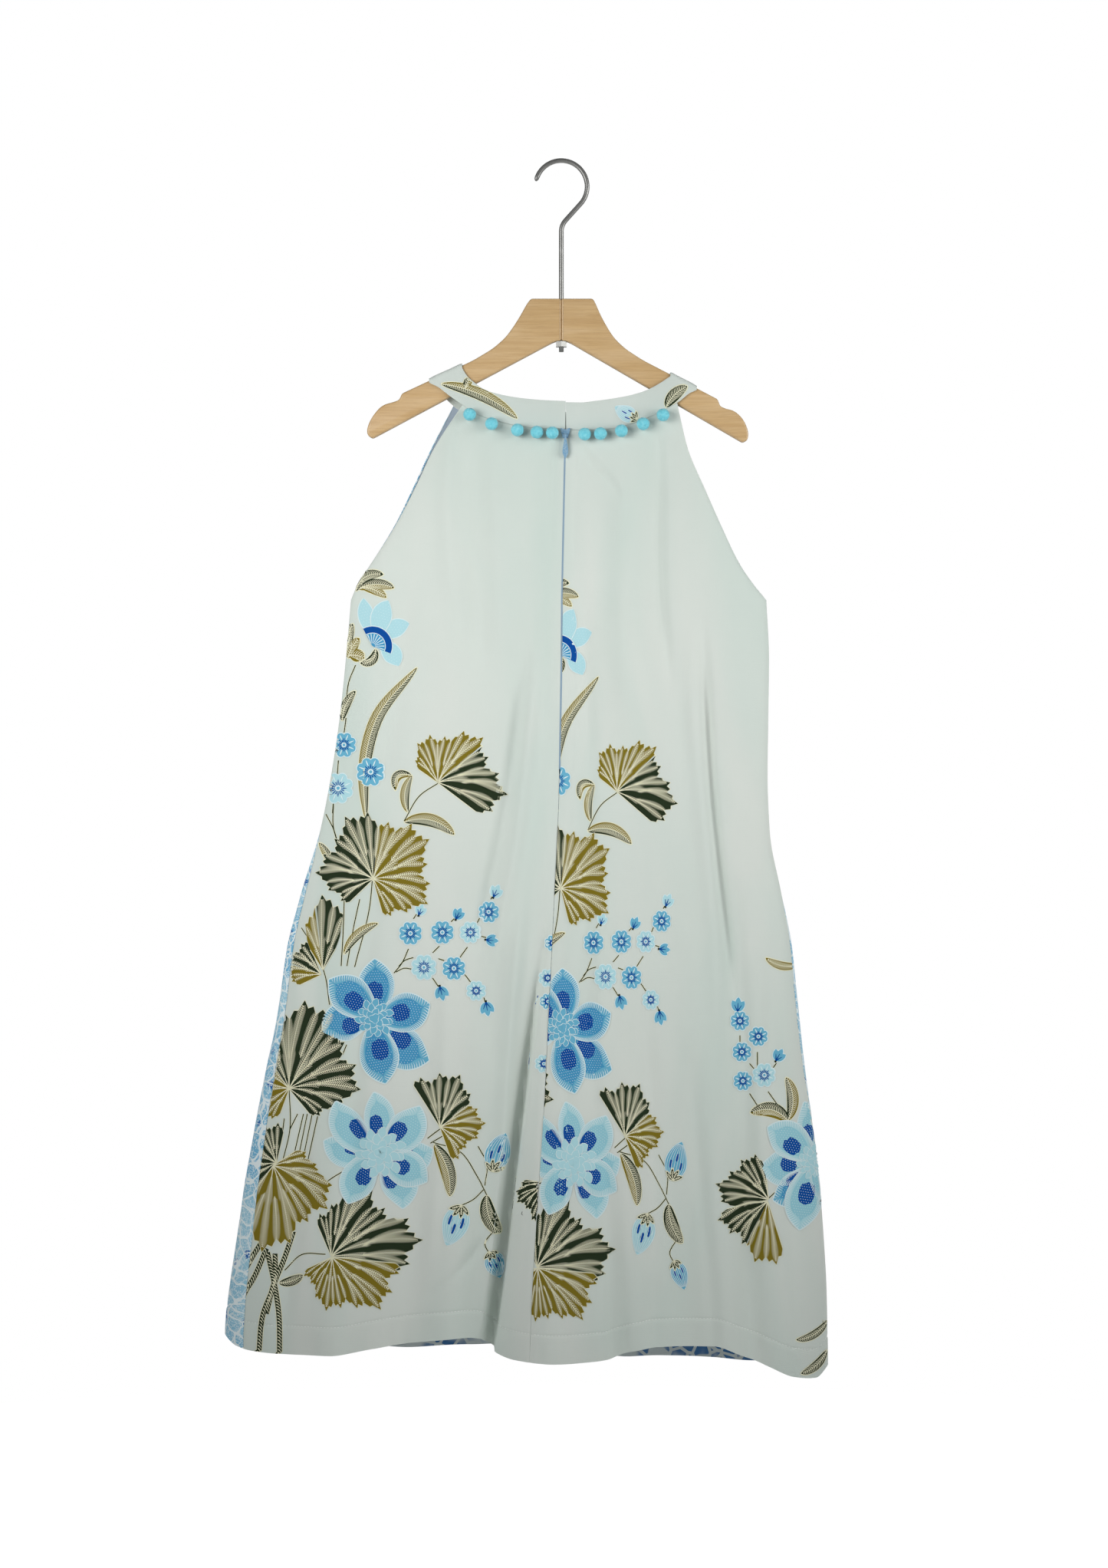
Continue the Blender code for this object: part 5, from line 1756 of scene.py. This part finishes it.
def lay(ink, tree, place=None):
    """Lays the flat print on the cloth: each point moves on to the panel it belongs to,
    and cells that fall wholly beside the panel are dropped."""
    made = {}
    for colour, held in ink.sheets.items():
        flat = np.concatenate(held["points"])
        faces = np.concatenate(held["faces"])
        if place:
            flat = place(flat)
        hit = np.zeros(len(flat), bool)
        points = np.zeros((len(flat), 3))
        for count, (x, down, lift) in enumerate(flat.tolist()):
            far_behind = Vector((x * MM, -1.0, -down * MM))
            found, normal = tree.ray_cast(far_behind, Vector((0, 1, 0)))[:2]
            hit[count] = found is not None
            if found is None:
                close_by = Vector((x * MM, -0.02, -down * MM))
                found, normal = tree.find_nearest(close_by)[:2]
            points[count] = found + normal * (lift * MM)
        kept = hit[faces].any(axis=1)
        made[colour] = (points, faces[kept])
    return made


# Putting the pieces on their bodies

def dress(piece, slot, *nodes):
    """A piece of the dress: what it rides on and the solids it stands for; its finish, the slot, is not
    used.
    """
    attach(piece, "dress")
    if nodes:
        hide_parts(*nodes)
    return piece


def hung(grid):
    """Measures a sheet's cells across and down; nothing is stated or kept."""
    sideways = np.linalg.norm(np.diff(grid, axis=1), axis=-1)
    downward = np.linalg.norm(np.diff(grid, axis=0), axis=-1)


def finish_node(node, surface):
    """Gives a solid that stays its finish."""
    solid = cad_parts[node]
    solid.data.materials.clear()
    solid.data.materials.append(surface)


def build_cloth():
    """The three panels, the band and their stitching."""
    # The second tint of each cotton is the darker end of its upright bands of painted shade
    ground = cotton("cotton_ground", tint(212, 218, 211), tint(200, 213, 205))
    band_ground = cotton("band_ground", tint(208, 215, 209), tint(199, 209, 202))
    thread = dye("white_thread", tint(232, 236, 232), 0.7)
    stitched = []
    grids = {}
    sizes = {"back_left": (BACK_LEFT, BACK_COLUMNS, "zip", "seam"),
             "back_right": (BACK_RIGHT, BACK_COLUMNS, "seam", "zip"),
             "front": (FRONT, FRONT_COLUMNS, "seam", "seam")}
    printed = batik("batik_front")
    reverse = batik_reverse("batik_reverse")
    facing = cotton("cotton_facing", tint(176, 190, 204), tint(166, 182, 200))
    bodice, skirt, turn_up = row_places()
    hem_row = len(bodice) + int(np.argmin(np.abs(skirt - turn_up)))
    for name, (panel, columns, from_seam, to_seam) in sizes.items():
        outer, inner = panel_grid(panel, columns, from_seam, to_seam)
        grids[name] = outer
        if name == "front":
            made = shell("front_cloth", outer, inner, printed, (facing, reverse), len(bodice))
        else:
            made = shell(f"{name}_cloth", outer, inner, ground)
        dress(made, "cotton", name)
        hung(outer)
        stitched.append((outer[hem_row], grid_normals(outer)[hem_row]))
    outer, inner = band_grid()
    grids["neckband"] = outer
    made = dress(shell("neckband_cloth", outer, inner, band_ground), "band_cotton", "neckband")
    hung(outer)
    dress(stitches("hem_stitches", stitched, thread), "cotton")
    return grids


def cloth_tree(grid):
    """A search tree over a shell's outer face."""
    points = grid.reshape(-1, 3) * MM
    return BVHTree.FromPolygons(points.tolist(), grid_faces(grid.shape[:2]).tolist())


def second_repeat(flat):
    """Moves the print from the left panel to where the right panel repeats it."""
    moved = flat.copy()
    lean = np.maximum(flat[:, 1] - REPEAT_LEANS_BELOW, 0) * REPEAT_LEAN
    moved[:, 0] = flat[:, 0] * REPEAT_SCALE + REPEAT_MOVE + lean
    moved[:, 1] = flat[:, 1] + REPEAT_DROP
    return moved


def build_print(grids):
    """The printed flowers and leaves of the back, one piece for each ink."""
    main = {"barks": BARK_ROWS, "stems": STEM_ROWS, "blades": BLADE_ROWS, "leaves": LEAF_ROWS,
            "petals": PETAL_ROWS, "hearts": HEART_ROWS, "blossoms": BLOSSOM_ROWS,
            "buds": BUD_ROWS, "pods": POD_ROWS}
    side = {"stems": SIDE_STEM_ROWS, "blades": SIDE_BLADE_ROWS, "leaves": SIDE_LEAF_ROWS,
            "petals": SIDE_PETAL_ROWS, "hearts": SIDE_HEART_ROWS,
            "blossoms": SIDE_BLOSSOM_ROWS, "buds": SIDE_BUD_ROWS}
    seam = {"blossoms": SEAM_BLOSSOM_ROWS, "leaves": SEAM_LEAF_ROWS}
    band = {"blades": BAND_BLADE_ROWS, "pods": BAND_POD_ROWS}
    long_blade = through(((-203, 684), (-205, 635), (-192, 580), (-150, 527)), 2.4)
    left_tree = cloth_tree(grids["back_left"])
    right_tree = cloth_tree(grids["back_right"])
    band_tree = cloth_tree(grids["neckband"])
    repeat = Ink()
    feather(repeat, long_blade, 7.0, "olive", "dark", 0.04)
    bell_flower(repeat, (-190, 498), 0.0)
    draw(repeat, main)
    laid = [lay(repeat, left_tree), lay(repeat, right_tree, second_repeat),
            lay(draw(Ink(), side), right_tree), lay(draw(Ink(), seam), left_tree),
            lay(draw(Ink(), band), band_tree)]
    for colour, shade in INK_TINT.items():
        points = []
        faces = []
        count = 0
        for made in laid:
            if colour in made and len(made[colour][1]):
                points.append(made[colour][0])
                faces.append(made[colour][1] + count)
                count += len(made[colour][0])
        piece = mesh_piece(f"print_{colour}", np.concatenate(points), np.concatenate(faces),
                           dye(f"ink_{colour}", tint(*shade)))
        tidy_print(piece)
        dress(piece, "cotton")


# Printed cells smaller than this, in square metres, are dropped
THIN_CELL = 1e-10


def tidy_print(piece):
    """Drops unused points and collapsed cells, and turns every cell outwards."""
    form = bmesh.new()
    form.from_mesh(piece.data)
    thin = [face for face in form.faces if face.calc_area() < THIN_CELL]
    bmesh.ops.delete(form, geom=thin, context="FACES_ONLY")
    loose = [vert for vert in form.verts if not vert.link_faces]
    bmesh.ops.delete(form, geom=loose, context="VERTS")
    turned = [face for face in form.faces if face.normal.y > 0]
    bmesh.ops.reverse_faces(form, faces=turned)
    form.to_mesh(piece.data)
    form.free()


def build_trims(grids):
    """The pompoms and the zip."""
    yarn = fluff("turquoise_yarn")
    for side, seed in (("back", 11), ("front", 23)):
        nodes = [f"pompom_{side}_{count}" for count in range(1, 11)]
        centres = [(sum(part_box(node), Vector()) / 2) / MM for node in nodes]
        dress(yarn_balls(f"pompom_trim_{side}", centres, seed, yarn), "yarn", *nodes)
    nylon = dye("zip_tape", tint(138, 160, 178), 0.6)
    finish_node("zip_chain", nylon)
    enamel = lacquer("blue_enamel", tint(130, 178, 212), tint(176, 204, 222))
    finish_node("zip_slider", enamel)
    finish_node("zip_pull", enamel)
    line = grids["back_left"][:, 0].copy()
    normals = grid_normals(grids["back_left"])[:, 0]
    line[:, 0] += COIL_TO_RIGHT
    keep = (-line[:, 2] > COIL_TOP_DOWN) & (-line[:, 2] < ZIP_END_DOWN)
    thread = dye("zip_coil", tint(150, 178, 200), 0.5)
    dress(zip_coil("zip_coil", line[keep], normals[keep], thread), "nylon")


def build_hanger():
    """Both arms, the wire hook and its nut."""
    for name, side, slope in (("left", -1, -25.5), ("right", 1, 26.5)):
        wood = varnished_wood(f"wood_{name}", slope)
        dress(hanger_arm(f"arm_{name}", side, wood), "wood", f"hanger_{name}")
    steel = brushed_steel("hook_steel")
    dress(tube("hook_wire", hook_course(), WIRE_RADIUS, steel), "steel", "hook")
    finish_node("hook_nut", steel)


# The stage, in metres: its floor, its lamps and the photograph's frame
FLOOR_RADIUS = 3.2
FLOOR_HEIGHT = -1.85
# The floor's glow is painted light: faint up to 0.4 m behind the middle, full beyond 1.6 m
FLOOR_GLOW = {"From Min": 0.4, "From Max": 1.6, "To Min": 0.28, "To Max": 1.0}
WORLD_COLOUR = (0.97, 0.98, 1, 1)
WORLD_LIGHT = 0.17
LAMPS_AIM = (0, 0, -0.5)
SPOT_DEGREES = 78
LAMP_COLUMNS = ("name", "kind", "place", "size", "power")
LAMP_ROWS = (
    ("key", "SPOT", (-1.0, -1.1, -0.25), 0.50, 73.0),
    ("fill", "SPOT", (1.55, -0.85, -0.18), 0.70, 102.0),
    ("back", "AREA", (0.6, 2.6, 1.0), 2.0, 24.0),
)
CAMERA_X = -0.0076
CAMERA_AWAY = 3.5
CAMERA_HEIGHT = -0.6476
FRAME_HEIGHT = 1.6352
SENSOR = 36.0


def build_stage():
    """A pale floor, soft lamps and the camera at the photograph's angle."""
    floor = bmesh.new()
    bmesh.ops.create_circle(floor, cap_ends=True, segments=96, radius=FLOOR_RADIUS)
    mesh = bpy.data.meshes.new("floor")
    floor.to_mesh(mesh)
    floor.free()
    ground = bpy.data.objects.new("floor", mesh)
    ground.location = (0, 0, FLOOR_HEIGHT)
    bpy.context.scene.collection.objects.link(ground)
    mesh.materials.append(glowing_floor_stage("glowing_floor_paint", (0.9, 0.9, 0.9, 1)))

    world = bpy.data.worlds.new("studio")
    bpy.context.scene.world = world
    world.use_nodes = True
    tree = world.node_tree
    light = tree.nodes["Background"]
    light.inputs["Color"].default_value = WORLD_COLOUR
    light.inputs["Strength"].default_value = WORLD_LIGHT
    backdrop = tree.nodes.new("ShaderNodeBackground")
    backdrop.inputs["Color"].default_value = (1, 1, 1, 1)
    seen = tree.nodes.new("ShaderNodeLightPath")
    either = tree.nodes.new("ShaderNodeMixShader")
    tree.links.new(seen.outputs["Is Camera Ray"], either.inputs["Fac"])
    tree.links.new(light.outputs["Background"], either.inputs[1])
    tree.links.new(backdrop.outputs["Background"], either.inputs[2])
    tree.links.new(either.outputs["Shader"], tree.nodes["World Output"].inputs["Surface"])

    for row in LAMP_ROWS:
        named = dict(zip(LAMP_COLUMNS, row))
        light = bpy.data.lights.new(named["name"], named["kind"])
        light.energy = named["power"]
        if named["kind"] == "SPOT":
            light.shadow_soft_size = named["size"]
            light.spot_size = math.radians(SPOT_DEGREES)
            light.spot_blend = 1.0
        else:
            light.shape = "DISK"
            light.size = named["size"]
        lamp = bpy.data.objects.new(named["name"], light)
        lamp.location = named["place"]
        aim = Vector(LAMPS_AIM) - lamp.location
        lamp.rotation_euler = aim.to_track_quat("-Z", "Y").to_euler()
        bpy.context.scene.collection.objects.link(lamp)

    lens = bpy.data.cameras.new("camera")
    lens.sensor_width = SENSOR
    lens.lens = SENSOR * CAMERA_AWAY / FRAME_HEIGHT
    camera = bpy.data.objects.new("camera", lens)
    camera.location = (CAMERA_X, -CAMERA_AWAY, CAMERA_HEIGHT)
    camera.rotation_euler = (math.pi / 2, 0, 0)
    bpy.context.scene.collection.objects.link(camera)
    bpy.context.scene.camera = camera
    bpy.context.scene.view_settings.view_transform = "Standard"


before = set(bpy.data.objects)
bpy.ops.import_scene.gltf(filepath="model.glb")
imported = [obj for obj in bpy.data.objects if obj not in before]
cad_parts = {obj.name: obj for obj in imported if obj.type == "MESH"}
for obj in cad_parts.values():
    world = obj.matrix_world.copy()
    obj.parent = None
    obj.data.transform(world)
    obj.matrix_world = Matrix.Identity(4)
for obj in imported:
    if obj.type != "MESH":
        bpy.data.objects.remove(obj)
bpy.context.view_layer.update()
build_stage()
cloth = build_cloth()
build_print(cloth)
build_trims(cloth)
build_hanger()
